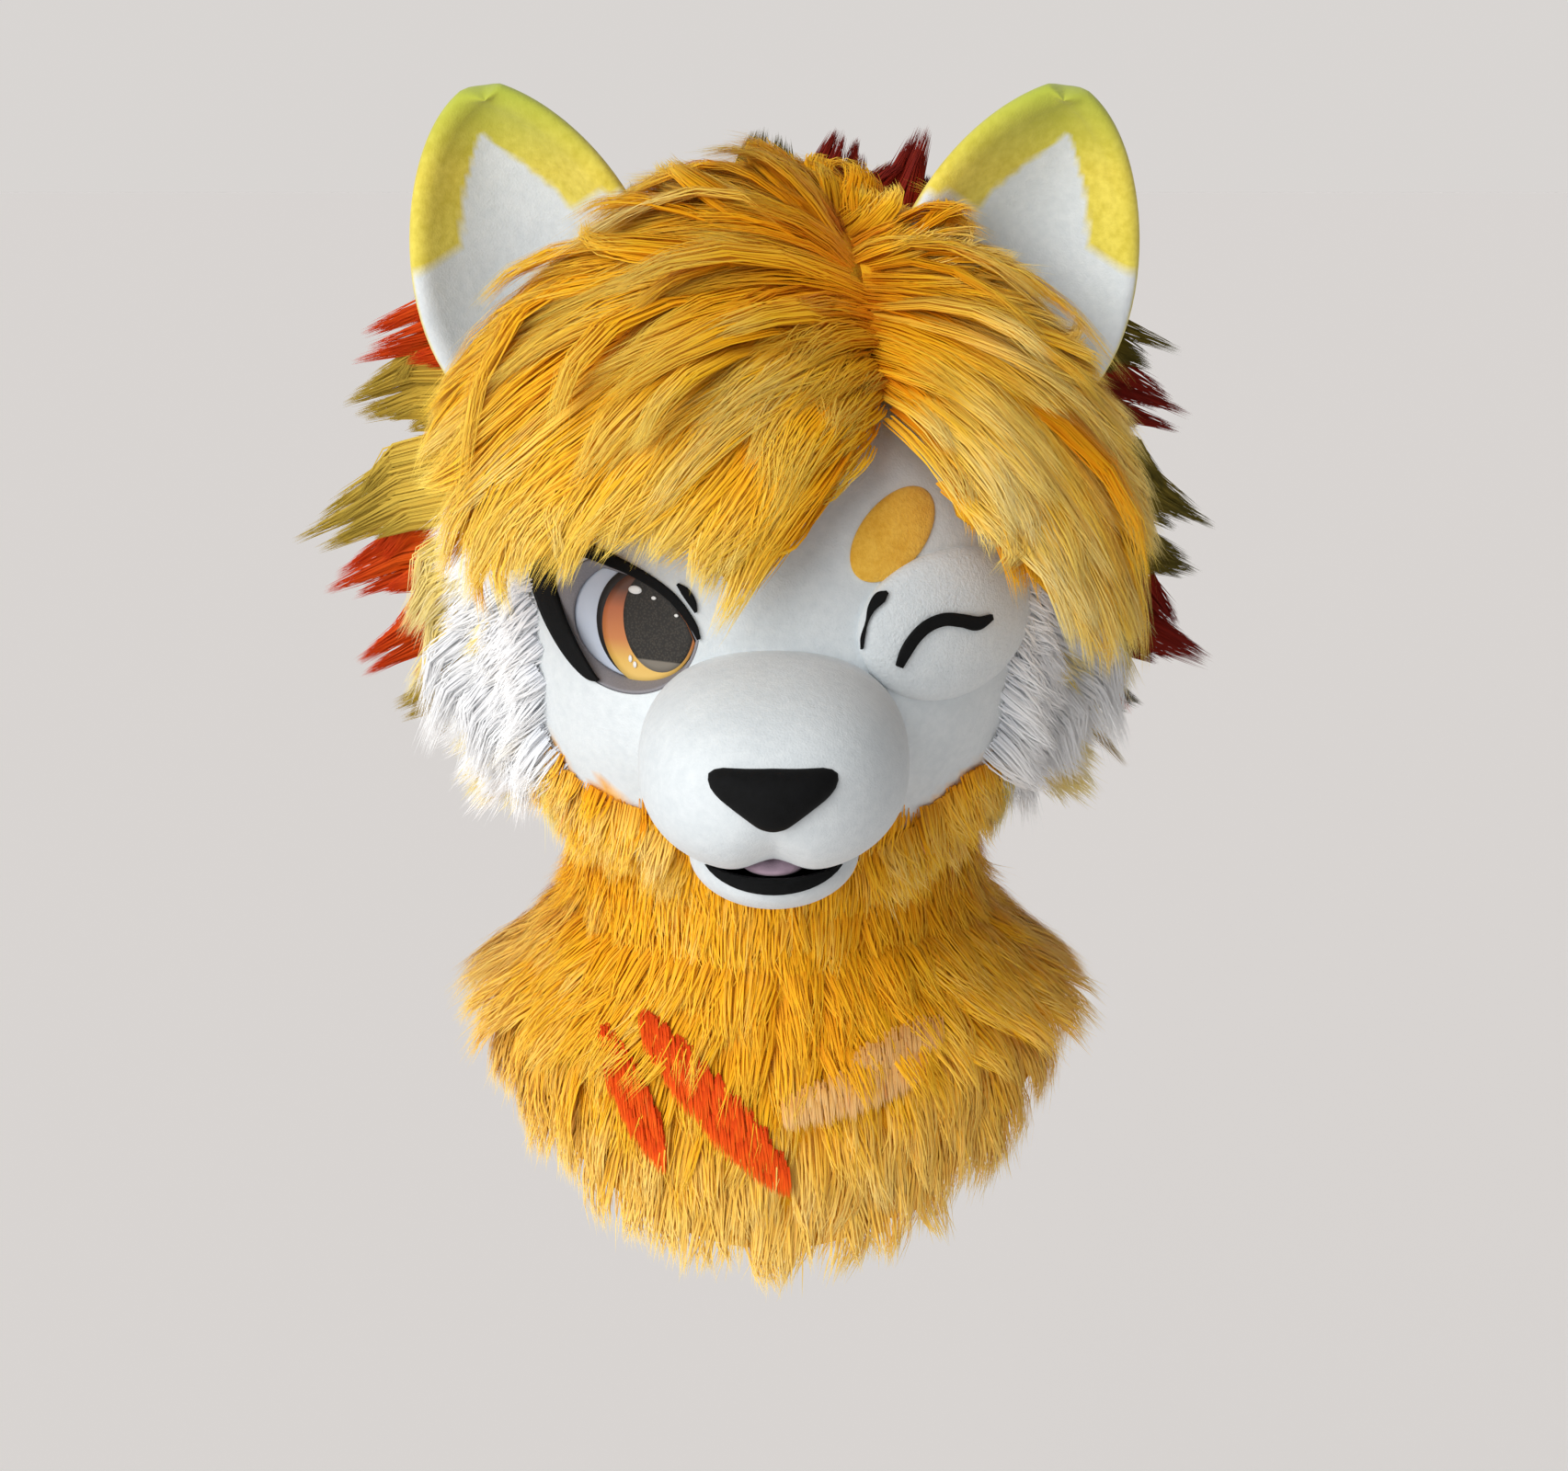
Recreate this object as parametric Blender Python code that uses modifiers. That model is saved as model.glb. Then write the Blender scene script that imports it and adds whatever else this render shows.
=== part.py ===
"""Costume animal head: a hollow padded shell with muzzle, jaw, eyes, ears, deep fur and a fur bib.

The origin is where the wearer's crown touches the top of the hollow. The face looks along -Y.
Each fur piece is a backing with its locks fused to it, and lies a hair's breadth off its neighbours.
"""

import math
from typing import NamedTuple

import bmesh
import bpy
from mathutils import Matrix, Vector

# Head shell. Its outline is a super-ellipsoid about HEAD_CENTRE, with a few soft swellings.
HEAD_CENTRE = Vector((0.0, 0.01, -0.12))
HALF_WIDTH = 0.142
FACE_REACH = 0.145
NAPE_REACH = 0.150
SHELL_WALL = 0.014
CROWN_RISE = SHELL_WALL - HEAD_CENTRE.z
JAW_DROP = 0.186
FULLNESS = 2.2
RIM_LEVEL = -0.250
SHELL_SEGMENTS = 28
SHELL_RINGS = 16

# Clearances between pieces.
FIT_GAP = 0.0004
SEAM_GAP = 0.0006
CUT_GAP = 0.0008
MOST_SWELL = 1.6
SEAT_LIFT = 0.0007

# Muzzle, nose, mouth and jaw. The lower lip is the jaw's form swollen, between two planes.
MUZZLE_CENTRE = Vector((0.0, -0.158, -0.186))
MUZZLE_SIZE = Vector((0.066, 0.090, 0.050))
NOSE_CENTRE = (0.0, -0.1815)
NOSE_HALF = (0.030, 0.0165)
NOSE_THICKNESS = 0.010
JAW_CENTRE = Vector((0.0, -0.140, -0.240))
JAW_SIZE = Vector((0.047, 0.067, 0.0225))
MOUTH_LEVEL = -0.2350
LIP_SWELL = 0.0022
LIP_CORNER = Vector((0.0, -0.1850, -0.2350))
LIP_SLOPE = 0.42
TONGUE_CENTRE = Vector((0.0, -0.1780, -0.2330))
TONGUE_SIZE = Vector((0.0165, 0.0240, 0.0050))

# Open eye, on the wearer's right, as seen from the front (x, z).
EYE_CENTRE = (-0.0735, -0.1275)
EYE_HALF_WIDTH = 0.0365
EYE_HALF_HEIGHT = 0.0320
EYE_LID_POINT = (-0.069, -0.1000)
EYE_LID_SLOPE = -0.62
EYE_PLATE_Y = -0.1045
EYE_PLATE_TURN = 0.52
WELL_BACK = 0.0035
EYE_POINTS = 26
WELL_RIM = 0.0022
WELL_SHIFT = 0.0060
WELL_NARROWING = 0.0065
IRIS_CENTRE = (-0.0600, -0.1330)
IRIS_HALF = (0.0225, 0.0285)
PUPIL_CENTRE = (-0.0575, -0.1290)
PUPIL_HALF = (0.0150, 0.0190)
PLATE_THICKNESS = 0.0014
FELT_THICKNESS = 0.0018

# Closed eyelid pad on the wearer's left, and the brow patch above it.
LID_PAD_CENTRE = (0.0880, -0.1300)
LID_PAD_HALF = (0.0470, 0.0385)
LID_PAD_THICKNESS = 0.0090
BROW_CENTRE = (0.0585, -0.0825)
BROW_HALF = (0.0260, 0.0165)
BROW_TURN = math.radians(48)
BROW_THICKNESS = 0.0030

# Ears. Each is a cupped sheet between an outer and an inner edge, both cubic curves in x and z.
EAR_TIP = (0.149, 0.126)
EAR_OUTER_EDGE = ((0.118, -0.045), (0.208, -0.050), (0.198, 0.112), EAR_TIP)
EAR_INNER_EDGE = ((0.060, -0.004), (0.064, 0.080), (0.122, 0.122), EAR_TIP)
EAR_EDGE_Y = 0.000
EAR_CUP = 0.044
EAR_CUP_LOST = 1.0
EAR_THICKNESS = 0.011
EAR_TOP = 0.965
EAR_PANEL_THICKNESS = 0.0020
EAR_PANEL_LIFT = 0.0046

# Where one fur backing ends and the next begins, as planes of the head.
HAIRLINE_LEVEL = -0.045
CROWN_BACK = 0.050
CHEEK_FRONT = -0.062
CHEEK_LEVEL = -0.213
BACKING = 0.010
OVERCUT = 0.008
HAIR_TOP_PILE = 0.060
MANE_PILE = 0.022
CHEEK_PILE = 0.016
FACE_CLEARANCE = 0.0050

# Neck and bib: one tube of backing and pile, open at both ends.
BIB_TOP = -0.2145
BIB_WALL = 0.013
BIB_SHELL_CLEARANCE = 0.0012
BIB_CLEARANCE = 0.0038
BIB_HEM_FRONT = -0.462
BIB_HEM_SIDE = -0.362
BIB_HEM_BACK = -0.432
BIB_HEM_POWER = 2.0
BIB_SEGMENTS = 36
BIB_RINGS = 10

# The fur pieces are fused on a grid of this size, then thinned to about this many triangles.
FUR_GRID = 0.0048
HAIR_TRIANGLES = 780
MANE_TRIANGLES = 760
CHEEK_TRIANGLES = 170
BIB_TRIANGLES = 800

# Each lock is a bent cone of this many sides, flattened, with these stations along its length.
LOCK_SIDES = 5
LOCK_STATIONS = (0.0, 0.38, 0.74, 1.0)
LOCK_FULLNESS = (0.85, 1.0, 0.74, 0.20)


class Bump(NamedTuple):
    """A soft swelling or hollow of the shell: where it points, how far it spreads, how high it is."""

    x: float
    y: float
    z: float
    spread: float
    height: float
    both_sides: bool


BUMPS = (
    Bump(0.095, -0.100, -0.180, 0.34, 0.0060, True),
    Bump(0.050, -0.125, -0.070, 0.26, 0.0040, True),
    Bump(0.074, -0.120, -0.130, 0.22, -0.0040, True),
    Bump(0.000, -0.135, -0.150, 0.20, 0.0100, False),
)


class BibRing(NamedTuple):
    """The inner size of the neck and bib at one level."""

    level: float
    half_width: float
    front: float
    back: float


BIB_RINGS_TABLE = (
    BibRing(-0.272, 0.097, -0.090, 0.112),
    BibRing(-0.300, 0.097, -0.092, 0.116),
    BibRing(-0.325, 0.118, -0.100, 0.126),
    BibRing(-0.350, 0.148, -0.109, 0.134),
    BibRing(-0.400, 0.154, -0.117, 0.138),
    BibRing(-0.475, 0.150, -0.120, 0.140),
)


class Lock(NamedTuple):
    """A tuft of long fur: where it grows from, the knee that it bends over, its tip and half width."""

    root: tuple
    knee: tuple
    tip: tuple
    half_width: float


# The parting runs back from just over the wearer's left brow. The fringe sweeps off it both ways.
FRINGE_RIGHT_LOCKS = (
    Lock((-0.030, 0.020, 0.040), (-0.150, -0.030, 0.060), (-0.189, -0.060, -0.096), 0.027),
    Lock((-0.010, 0.000, 0.042), (-0.130, -0.080, 0.045), (-0.170, -0.092, -0.140), 0.027),
    Lock((0.000, -0.020, 0.038), (-0.105, -0.115, 0.025), (-0.147, -0.116, -0.150), 0.026),
    Lock((0.010, -0.040, 0.034), (-0.080, -0.145, 0.015), (-0.112, -0.146, -0.122), 0.026),
    Lock((0.015, -0.060, 0.028), (-0.055, -0.160, 0.005), (-0.084, -0.156, -0.110), 0.024),
    Lock((0.020, -0.070, 0.022), (-0.035, -0.165, 0.000), (-0.057, -0.162, -0.106), 0.022),
    Lock((0.025, -0.080, 0.016), (-0.010, -0.168, -0.005), (-0.029, -0.167, -0.124), 0.020),
    Lock((0.030, -0.085, 0.010), (0.008, -0.160, -0.010), (-0.004, -0.158, -0.088), 0.018),
    Lock((0.035, -0.088, 0.006), (0.030, -0.148, -0.005), (0.020, -0.150, -0.058), 0.015),
)
FRINGE_LEFT_LOCKS = (
    Lock((0.055, -0.085, 0.004), (0.078, -0.150, 0.004), (0.099, -0.148, -0.086), 0.018),
    Lock((0.055, -0.070, 0.012), (0.110, -0.145, 0.012), (0.127, -0.138, -0.116), 0.021),
    Lock((0.058, -0.055, 0.018), (0.138, -0.125, 0.016), (0.154, -0.122, -0.154), 0.023),
    Lock((0.060, -0.040, 0.022), (0.160, -0.100, 0.018), (0.175, -0.100, -0.186), 0.025),
    Lock((0.060, -0.020, 0.026), (0.178, -0.070, 0.018), (0.191, -0.078, -0.166), 0.025),
    Lock((0.060, 0.000, 0.030), (0.176, -0.035, 0.015), (0.195, -0.068, -0.122), 0.024),
)
CROWN_LOCKS = (
    Lock((0.000, 0.010, 0.050), (-0.035, -0.055, 0.094), (-0.080, -0.118, 0.022), 0.028),
    Lock((0.030, 0.010, 0.050), (0.030, -0.045, 0.094), (0.012, -0.122, 0.026), 0.026),
    Lock((0.040, 0.015, 0.046), (0.078, -0.045, 0.080), (0.104, -0.108, 0.010), 0.024),
    Lock((-0.030, 0.020, 0.050), (-0.050, 0.015, 0.090), (-0.074, -0.005, 0.072), 0.020),
)
MANE_RIGHT_LOCKS = (
    Lock((-0.080, 0.080, -0.005), (-0.170, 0.085, 0.015), (-0.236, 0.058, -0.012), 0.024),
    Lock((-0.098, 0.080, -0.045), (-0.190, 0.085, -0.020), (-0.246, 0.058, -0.047), 0.026),
    Lock((-0.105, 0.080, -0.085), (-0.205, 0.085, -0.080), (-0.268, 0.058, -0.119), 0.025),
    Lock((-0.108, 0.080, -0.120), (-0.200, 0.085, -0.115), (-0.260, 0.058, -0.146), 0.024),
    Lock((-0.105, 0.080, -0.155), (-0.185, 0.085, -0.160), (-0.244, 0.058, -0.198), 0.025),
    Lock((-0.100, 0.080, -0.180), (-0.165, 0.080, -0.195), (-0.222, 0.058, -0.220), 0.024),
)
MANE_LEFT_LOCKS = (
    Lock((0.080, 0.080, -0.005), (0.165, 0.085, 0.012), (0.224, 0.058, -0.022), 0.024),
    Lock((0.098, 0.080, -0.045), (0.180, 0.085, -0.025), (0.231, 0.058, -0.052), 0.024),
    Lock((0.105, 0.080, -0.085), (0.190, 0.085, -0.075), (0.246, 0.058, -0.111), 0.024),
    Lock((0.108, 0.080, -0.120), (0.190, 0.085, -0.110), (0.246, 0.058, -0.137), 0.024),
    Lock((0.105, 0.080, -0.155), (0.190, 0.085, -0.150), (0.254, 0.058, -0.190), 0.026),
    Lock((0.100, 0.080, -0.180), (0.165, 0.080, -0.195), (0.217, 0.058, -0.220), 0.024),
)
MANE_TOP_LOCKS = (
    Lock((-0.040, 0.085, -0.005), (-0.062, 0.095, 0.055), (-0.050, 0.078, 0.088), 0.024),
    Lock((-0.008, 0.085, 0.000), (-0.014, 0.100, 0.070), (-0.004, 0.078, 0.110), 0.026),
    Lock((0.028, 0.085, 0.000), (0.026, 0.100, 0.070), (0.042, 0.084, 0.108), 0.024),
    Lock((0.055, 0.085, -0.005), (0.062, 0.100, 0.060), (0.082, 0.084, 0.108), 0.024),
)
CHEEK_RIGHT_LOCKS = (
    Lock((-0.118, 0.030, -0.150), (-0.175, 0.035, -0.165), (-0.205, 0.028, -0.205), 0.020),
    Lock((-0.118, 0.010, -0.165), (-0.170, 0.010, -0.180), (-0.196, 0.000, -0.230), 0.020),
    Lock((-0.112, -0.010, -0.178), (-0.150, -0.020, -0.200), (-0.166, -0.022, -0.242), 0.018),
    Lock((-0.105, -0.025, -0.188), (-0.128, -0.035, -0.215), (-0.137, -0.034, -0.262), 0.018),
    Lock((-0.098, -0.036, -0.192), (-0.116, -0.052, -0.225), (-0.116, -0.044, -0.270), 0.013),
)
CHEEK_LEFT_LOCKS = (
    Lock((0.118, 0.030, -0.150), (0.170, 0.035, -0.165), (0.202, 0.028, -0.202), 0.020),
    Lock((0.118, 0.010, -0.165), (0.165, 0.010, -0.180), (0.186, 0.000, -0.228), 0.020),
    Lock((0.112, -0.010, -0.178), (0.150, -0.020, -0.198), (0.169, -0.022, -0.237), 0.018),
    Lock((0.105, -0.025, -0.188), (0.130, -0.035, -0.212), (0.136, -0.034, -0.259), 0.018),
    Lock((0.098, -0.036, -0.192), (0.118, -0.052, -0.225), (0.119, -0.044, -0.270), 0.013),
)


class EarPanelRow(NamedTuple):
    """How wide the ear's white panel is at a share of the ear's height, from -1 outside to 1 inside."""

    height: float
    outer: float
    inner: float


EAR_PANEL = (
    EarPanelRow(0.03, -0.96, 0.96),
    EarPanelRow(0.20, -0.96, 0.96),
    EarPanelRow(0.38, -0.96, 0.96),
    EarPanelRow(0.40, -0.62, 0.96),
    EarPanelRow(0.50, -0.56, 0.94),
    EarPanelRow(0.52, -0.55, 0.52),
    EarPanelRow(0.62, -0.44, 0.36),
    EarPanelRow(0.72, -0.24, 0.10),
)


class BackRow(NamedTuple):
    """A row of tufts down the back of the head."""

    level: float
    count: int
    spread: float
    reach: float
    droop: float
    half_width: float


BACK_ROWS = (
    BackRow(-0.005, 4, 0.66, 0.078, 0.020, 0.026),
    BackRow(-0.065, 5, 0.90, 0.082, 0.045, 0.028),
    BackRow(-0.125, 5, 0.95, 0.080, 0.058, 0.028),
    BackRow(-0.180, 5, 0.92, 0.070, 0.055, 0.026),
)


class HemLocks(NamedTuple):
    """Locks along the bib's hem: the arc in degrees from the front, how many, length and half width."""

    start: float
    end: float
    count: int
    length: float
    half_width: float


HEM_LOCKS = (
    HemLocks(-34, 34, 7, 0.030, 0.016),
    HemLocks(-84, -46, 4, 0.042, 0.020),
    HemLocks(46, 84, 4, 0.042, 0.020),
    HemLocks(-128, -98, 3, 0.042, 0.022),
    HemLocks(98, 128, 3, 0.042, 0.022),
    HemLocks(146, 214, 5, 0.034, 0.022),
)

PALETTE = {
    "plush_white": ((0.80, 0.81, 0.83), 0.90),
    "fur_yellow": ((0.83, 0.50, 0.07), 0.85),
    "fur_crown": ((0.86, 0.46, 0.04), 0.85),
    "ear_yellow": ((0.78, 0.62, 0.12), 0.90),
    "felt_black": ((0.012, 0.012, 0.014), 0.90),
    "eye_grey": ((0.30, 0.30, 0.32), 0.60),
    "eye_white": ((0.80, 0.84, 0.88), 0.35),
    "iris_amber": ((0.62, 0.30, 0.06), 0.45),
    "pupil_brown": ((0.05, 0.035, 0.03), 0.60),
    "tongue_pink": ((0.72, 0.50, 0.54), 0.80),
}


def clear_scene():
    """Removes what the startup scene holds."""
    for obj in list(bpy.data.objects):
        bpy.data.objects.remove(obj)


def material(name):
    """The Principled material of this name from the palette."""
    found = bpy.data.materials.get(name)
    if found:
        return found
    colour, roughness = PALETTE[name]
    made = bpy.data.materials.new(name)
    made.use_nodes = True
    surface = made.node_tree.nodes["Principled BSDF"]
    surface.inputs["Base Color"].default_value = (*colour, 1.0)
    surface.inputs["Roughness"].default_value = roughness
    surface.inputs["Metallic"].default_value = 0.0
    return made


def make_collection(name):
    """A new collection under the scene's own."""
    made = bpy.data.collections.new(name)
    bpy.context.scene.collection.children.link(made)
    return made


def add_object(name, bm, look, collection):
    """An object that holds this bmesh, in this collection, shaded smooth up to sharp edges."""
    bmesh.ops.recalc_face_normals(bm, faces=bm.faces)
    mesh = bpy.data.meshes.new(name)
    bm.to_mesh(mesh)
    bm.free()
    mesh.shade_smooth()
    mesh.set_sharp_from_angle(angle=math.radians(40))
    mesh.materials.append(material(look))
    obj = bpy.data.objects.new(name, mesh)
    collection.objects.link(obj)
    return obj


def shell_point(direction, lift=0.0):
    """The point of the shell's outer surface that lies this way from the head's centre."""
    d = direction.normalized()
    reach = FACE_REACH if d.y < 0 else NAPE_REACH
    rise = CROWN_RISE if d.z > 0 else JAW_DROP
    parts = (abs(d.x) / HALF_WIDTH, abs(d.y) / reach, abs(d.z) / rise)
    distance = sum(part**FULLNESS for part in parts) ** (-1 / FULLNESS)
    for bump in BUMPS:
        sides = (1, -1) if bump.both_sides else (1,)
        for side in sides:
            towards = (Vector((side * bump.x, bump.y, bump.z)) - HEAD_CENTRE).normalized()
            distance += bump.height * math.exp(-((d - towards).length / bump.spread) ** 2)
    return HEAD_CENTRE + d * (distance + lift)


def face_depth(x, z, lift=0.0):
    """The y of the face's outer surface at this x and z, found by halving."""
    near, far = HEAD_CENTRE.y - 2 * FACE_REACH, HEAD_CENTRE.y
    for _ in range(32):
        middle = (near + far) / 2
        offset = Vector((x, middle, z)) - HEAD_CENTRE
        outside = offset.length > (shell_point(offset, lift) - HEAD_CENTRE).length
        near, far = (middle, far) if outside else (near, middle)
    return (near + far) / 2


def sphere_of_directions(segments=SHELL_SEGMENTS, rings=SHELL_RINGS):
    """A unit sphere whose vertices serve as directions, with its poles up and down."""
    bm = bmesh.new()
    bmesh.ops.create_uvsphere(bm, u_segments=segments, v_segments=rings, radius=1.0)
    return bm


def slice_away(bm, point, outward):
    """Cuts the mesh by a plane and drops what lies on the plane's outward side."""
    everything = bm.verts[:] + bm.edges[:] + bm.faces[:]
    bmesh.ops.bisect_plane(
        bm, geom=everything, plane_co=point, plane_no=outward, clear_outer=True
    )


def evaluated_bmesh(obj):
    """A bmesh of the object with its modifiers, in world space."""
    bpy.context.view_layer.update()
    graph = bpy.context.evaluated_depsgraph_get()
    mesh = bpy.data.meshes.new_from_object(obj.evaluated_get(graph))
    mesh.transform(obj.matrix_world)
    bm = bmesh.new()
    bm.from_mesh(mesh)
    bpy.data.meshes.remove(mesh)
    return bm


def islands_of(bm):
    """The groups of faces that join across an edge which only two faces share."""
    left = set(bm.faces)
    groups = []
    while left:
        group, waiting = [], [left.pop()]
        while waiting:
            face = waiting.pop()
            group.append(face)
            edges = [edge for edge in face.edges if edge.is_manifold]
            for other in {near for edge in edges for near in edge.link_faces} & left:
                left.remove(other)
                waiting.append(other)
        groups.append(group)
    return groups


def settle(obj):
    """Applies the modifiers, and keeps only the largest body of what a cut leaves."""
    bm = evaluated_bmesh(obj)
    groups = sorted(islands_of(bm), key=lambda faces: sum(face.calc_area() for face in faces))
    crumbs = [face for group in groups[:-1] for face in group]
    bmesh.ops.delete(bm, geom=crumbs, context="FACES")
    bmesh.ops.triangulate(bm, faces=bm.faces)
    obj.modifiers.clear()
    obj.matrix_world = Matrix.Identity(4)
    bm.to_mesh(obj.data)
    bm.free()
    obj.data.shade_smooth()
    obj.data.set_sharp_from_angle(angle=math.radians(40))
    return obj


def boolean(obj, other, operation="DIFFERENCE"):
    """Adds one Boolean modifier with the EXACT solver and settles it."""
    modifier = obj.modifiers.new(operation.title(), "BOOLEAN")
    modifier.operation = operation
    modifier.solver = "EXACT"
    modifier.use_self = True
    modifier.object = other
    return settle(obj)


def hide(obj):
    """Keeps a cutter out of the part."""
    obj.hide_render = True
    obj.display_type = "WIRE"
    return obj


def cutter_of(obj, gap, collection):
    """A hidden copy of the object, swollen by the gap."""
    bm = evaluated_bmesh(obj)
    bmesh.ops.recalc_face_normals(bm, faces=bm.faces)
    bm.normal_update()
    moved = [
        vertex.co + vertex.normal * gap * min(vertex.calc_shell_factor(), MOST_SWELL)
        for vertex in bm.verts
    ]
    for vertex, place in zip(bm.verts, moved):
        vertex.co = place
    return hide(add_object("cutter_" + obj.name, bm, "felt_black", collection))


def clear_of(obj, neighbours, cutters):
    """Cuts the object back from each neighbour, with a small gap. A hidden neighbour has its gap."""
    for neighbour in neighbours:
        cutter = neighbour if neighbour.hide_render else cutter_of(neighbour, CUT_GAP, cutters)
        boolean(obj, cutter)
    return obj


def build_shell(parts, cutters):
    """The padded shell of the head, open at the neck and at the eye."""
    bm = sphere_of_directions()
    for vertex in bm.verts:
        vertex.co = shell_point(vertex.co)
    slice_away(bm, (0, 0, RIM_LEVEL), (0, 0, -1))
    shell = add_object("head_shell", bm, "plush_white", parts)
    wall = shell.modifiers.new("Wall", "SOLIDIFY")
    wall.thickness = SHELL_WALL
    wall.offset = -1.0
    settle(shell)
    return boolean(shell, eye_cutter(cutters))


def eye_outline(inset=0.0, shift=0.0):
    """The eye opening's outline seen from the front: an oval whose top follows the slanted lid."""
    points = []
    for step in range(EYE_POINTS):
        angle = math.tau * step / EYE_POINTS
        x = EYE_CENTRE[0] + shift + (EYE_HALF_WIDTH - inset) * math.cos(angle)
        z = EYE_CENTRE[1] + (EYE_HALF_HEIGHT - inset) * math.sin(angle)
        lid_level = EYE_LID_POINT[1] + EYE_LID_SLOPE * (x - EYE_LID_POINT[0]) - inset
        points.append((x, min(z, lid_level)))
    return points


def oval(centre, half, count, lid_inset=0.0):
    """An oval seen from the front, cut by the slanted lid."""
    points = []
    for step in range(count):
        angle = math.tau * step / count
        x = centre[0] + half[0] * math.cos(angle)
        z = centre[1] + half[1] * math.sin(angle)
        lid_level = EYE_LID_POINT[1] + EYE_LID_SLOPE * (x - EYE_LID_POINT[0]) - lid_inset
        points.append((x, min(z, lid_level)))
    return points


def loft(bm, sections):
    """Joins rings of points into a closed tube with capped ends."""
    rings = [[bm.verts.new(point) for point in section] for section in sections]
    for lower, upper in zip(rings, rings[1:]):
        for index, vertex in enumerate(lower):
            after = (index + 1) % len(lower)
            bm.faces.new((vertex, lower[after], upper[after], upper[index]))
    bm.faces.new(rings[0])
    bm.faces.new(rings[-1])


def eye_cutter(cutters):
    """The block that opens the shell's wall behind the eye."""
    outline = eye_outline()
    bm = bmesh.new()
    loft(bm, [[(x, y, z) for x, z in outline] for y in (-0.2, -0.035)])
    return hide(add_object("cutter_eye", bm, "felt_black", cutters))


def on_skin(outline, depth):
    """An outline carried onto the face and pushed this far behind its surface."""
    return [Vector((x, face_depth(x, z) + depth, z)) for x, z in outline]


def on_plate(outline, depth):
    """An outline carried onto the flat eye plate, which is turned outward, or this far behind it."""
    turn = EYE_PLATE_TURN
    return [
        Vector((x, EYE_PLATE_Y - turn * (x - EYE_CENTRE[0]) + depth, z)) for x, z in outline
    ]


def build_eye(parts, cutters):
    """The well, the white, the iris and the pupil of the open eye, one behind the other."""
    outer = eye_outline(FIT_GAP)
    bm = bmesh.new()
    loft(bm, [on_skin(outer, 0.0002), on_plate(outer, WELL_BACK + PLATE_THICKNESS)])
    well = add_object("eye_well", bm, "eye_grey", parts)
    bm = bmesh.new()
    mouth = on_skin(eye_outline(WELL_RIM), -0.004)
    white_outline = eye_outline(WELL_RIM + WELL_NARROWING, WELL_SHIFT)
    seat = on_plate(white_outline, PLATE_THICKNESS + FIT_GAP)
    loft(bm, [mouth, on_plate(white_outline, -0.0010), seat])
    boolean(well, hide(add_object("cutter_funnel", bm, "felt_black", cutters)))

    white = eye_outline(WELL_RIM + WELL_NARROWING + FIT_GAP, WELL_SHIFT)
    add_plate("eye_white", white, 0.0, "eye_white", parts)
    iris = clipped(oval(IRIS_CENTRE, IRIS_HALF, 22, WELL_RIM + FIT_GAP), white)
    step = FIT_GAP + PLATE_THICKNESS
    add_plate("eye_iris", iris, -step, "iris_amber", parts)
    pupil = clipped(oval(PUPIL_CENTRE, PUPIL_HALF, 20, 2 * WELL_RIM), iris)
    add_plate("eye_pupil", pupil, -2 * step, "pupil_brown", parts)
    return well


def clipped(outline, limit):
    """The outline with each point drawn in to lie inside the limit's outline, seen from its middle."""
    middle = Vector((sum(x for x, _ in limit), sum(z for _, z in limit))) / len(limit)
    polar = sorted((math.atan2(z - middle.y, x - middle.x), x, z) for x, z in limit)
    drawn = []
    for x, z in outline:
        offset = Vector((x, z)) - middle
        angle = math.atan2(offset.y, offset.x)
        nearest = min(
            polar, key=lambda row: abs(math.remainder(row[0] - angle, math.tau))
        )
        reach = (Vector((nearest[1], nearest[2])) - middle).length * 0.93
        if offset.length > reach:
            offset = offset.normalized() * reach
        drawn.append(tuple(middle + offset))
    return drawn


def add_plate(name, outline, depth, look, parts):
    """A thin flat plate, this far behind the eye plate's front."""
    bm = bmesh.new()
    loft(bm, [on_plate(outline, depth), on_plate(outline, depth + PLATE_THICKNESS)])
    return add_object(name, bm, look, parts)


def on_face(x, z, lift=0.0):
    """The point of the face seen at this x and z, then lifted straight off the head."""
    spot = Vector((x, face_depth(x, z), z))
    return shell_point(spot - HEAD_CENTRE, lift)


def on_muzzle(x, z, lift=0.0):
    """The point of the muzzle seen at this x and z, then lifted off it."""
    across = (x - MUZZLE_CENTRE.x) / MUZZLE_SIZE.x
    up = (z - MUZZLE_CENTRE.z) / MUZZLE_SIZE.z
    share = math.sqrt(max(0.02, 1 - across**2 - up**2))
    return Vector((x, MUZZLE_CENTRE.y - MUZZLE_SIZE.y * share - lift, z))


def on_eyelid_pad(x, z, lift=0.0):
    """The point of the eyelid pad's front seen at this x and z, or of the face round it."""
    u = (x - LID_PAD_CENTRE[0]) / LID_PAD_HALF[0]
    v = (z - LID_PAD_CENTRE[1]) / LID_PAD_HALF[1]
    swell = LID_PAD_THICKNESS * math.sqrt(max(0.0, 1 - (u * u + v * v) ** 2))
    return on_face(x, z, SEAT_LIFT + swell + lift)


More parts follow.
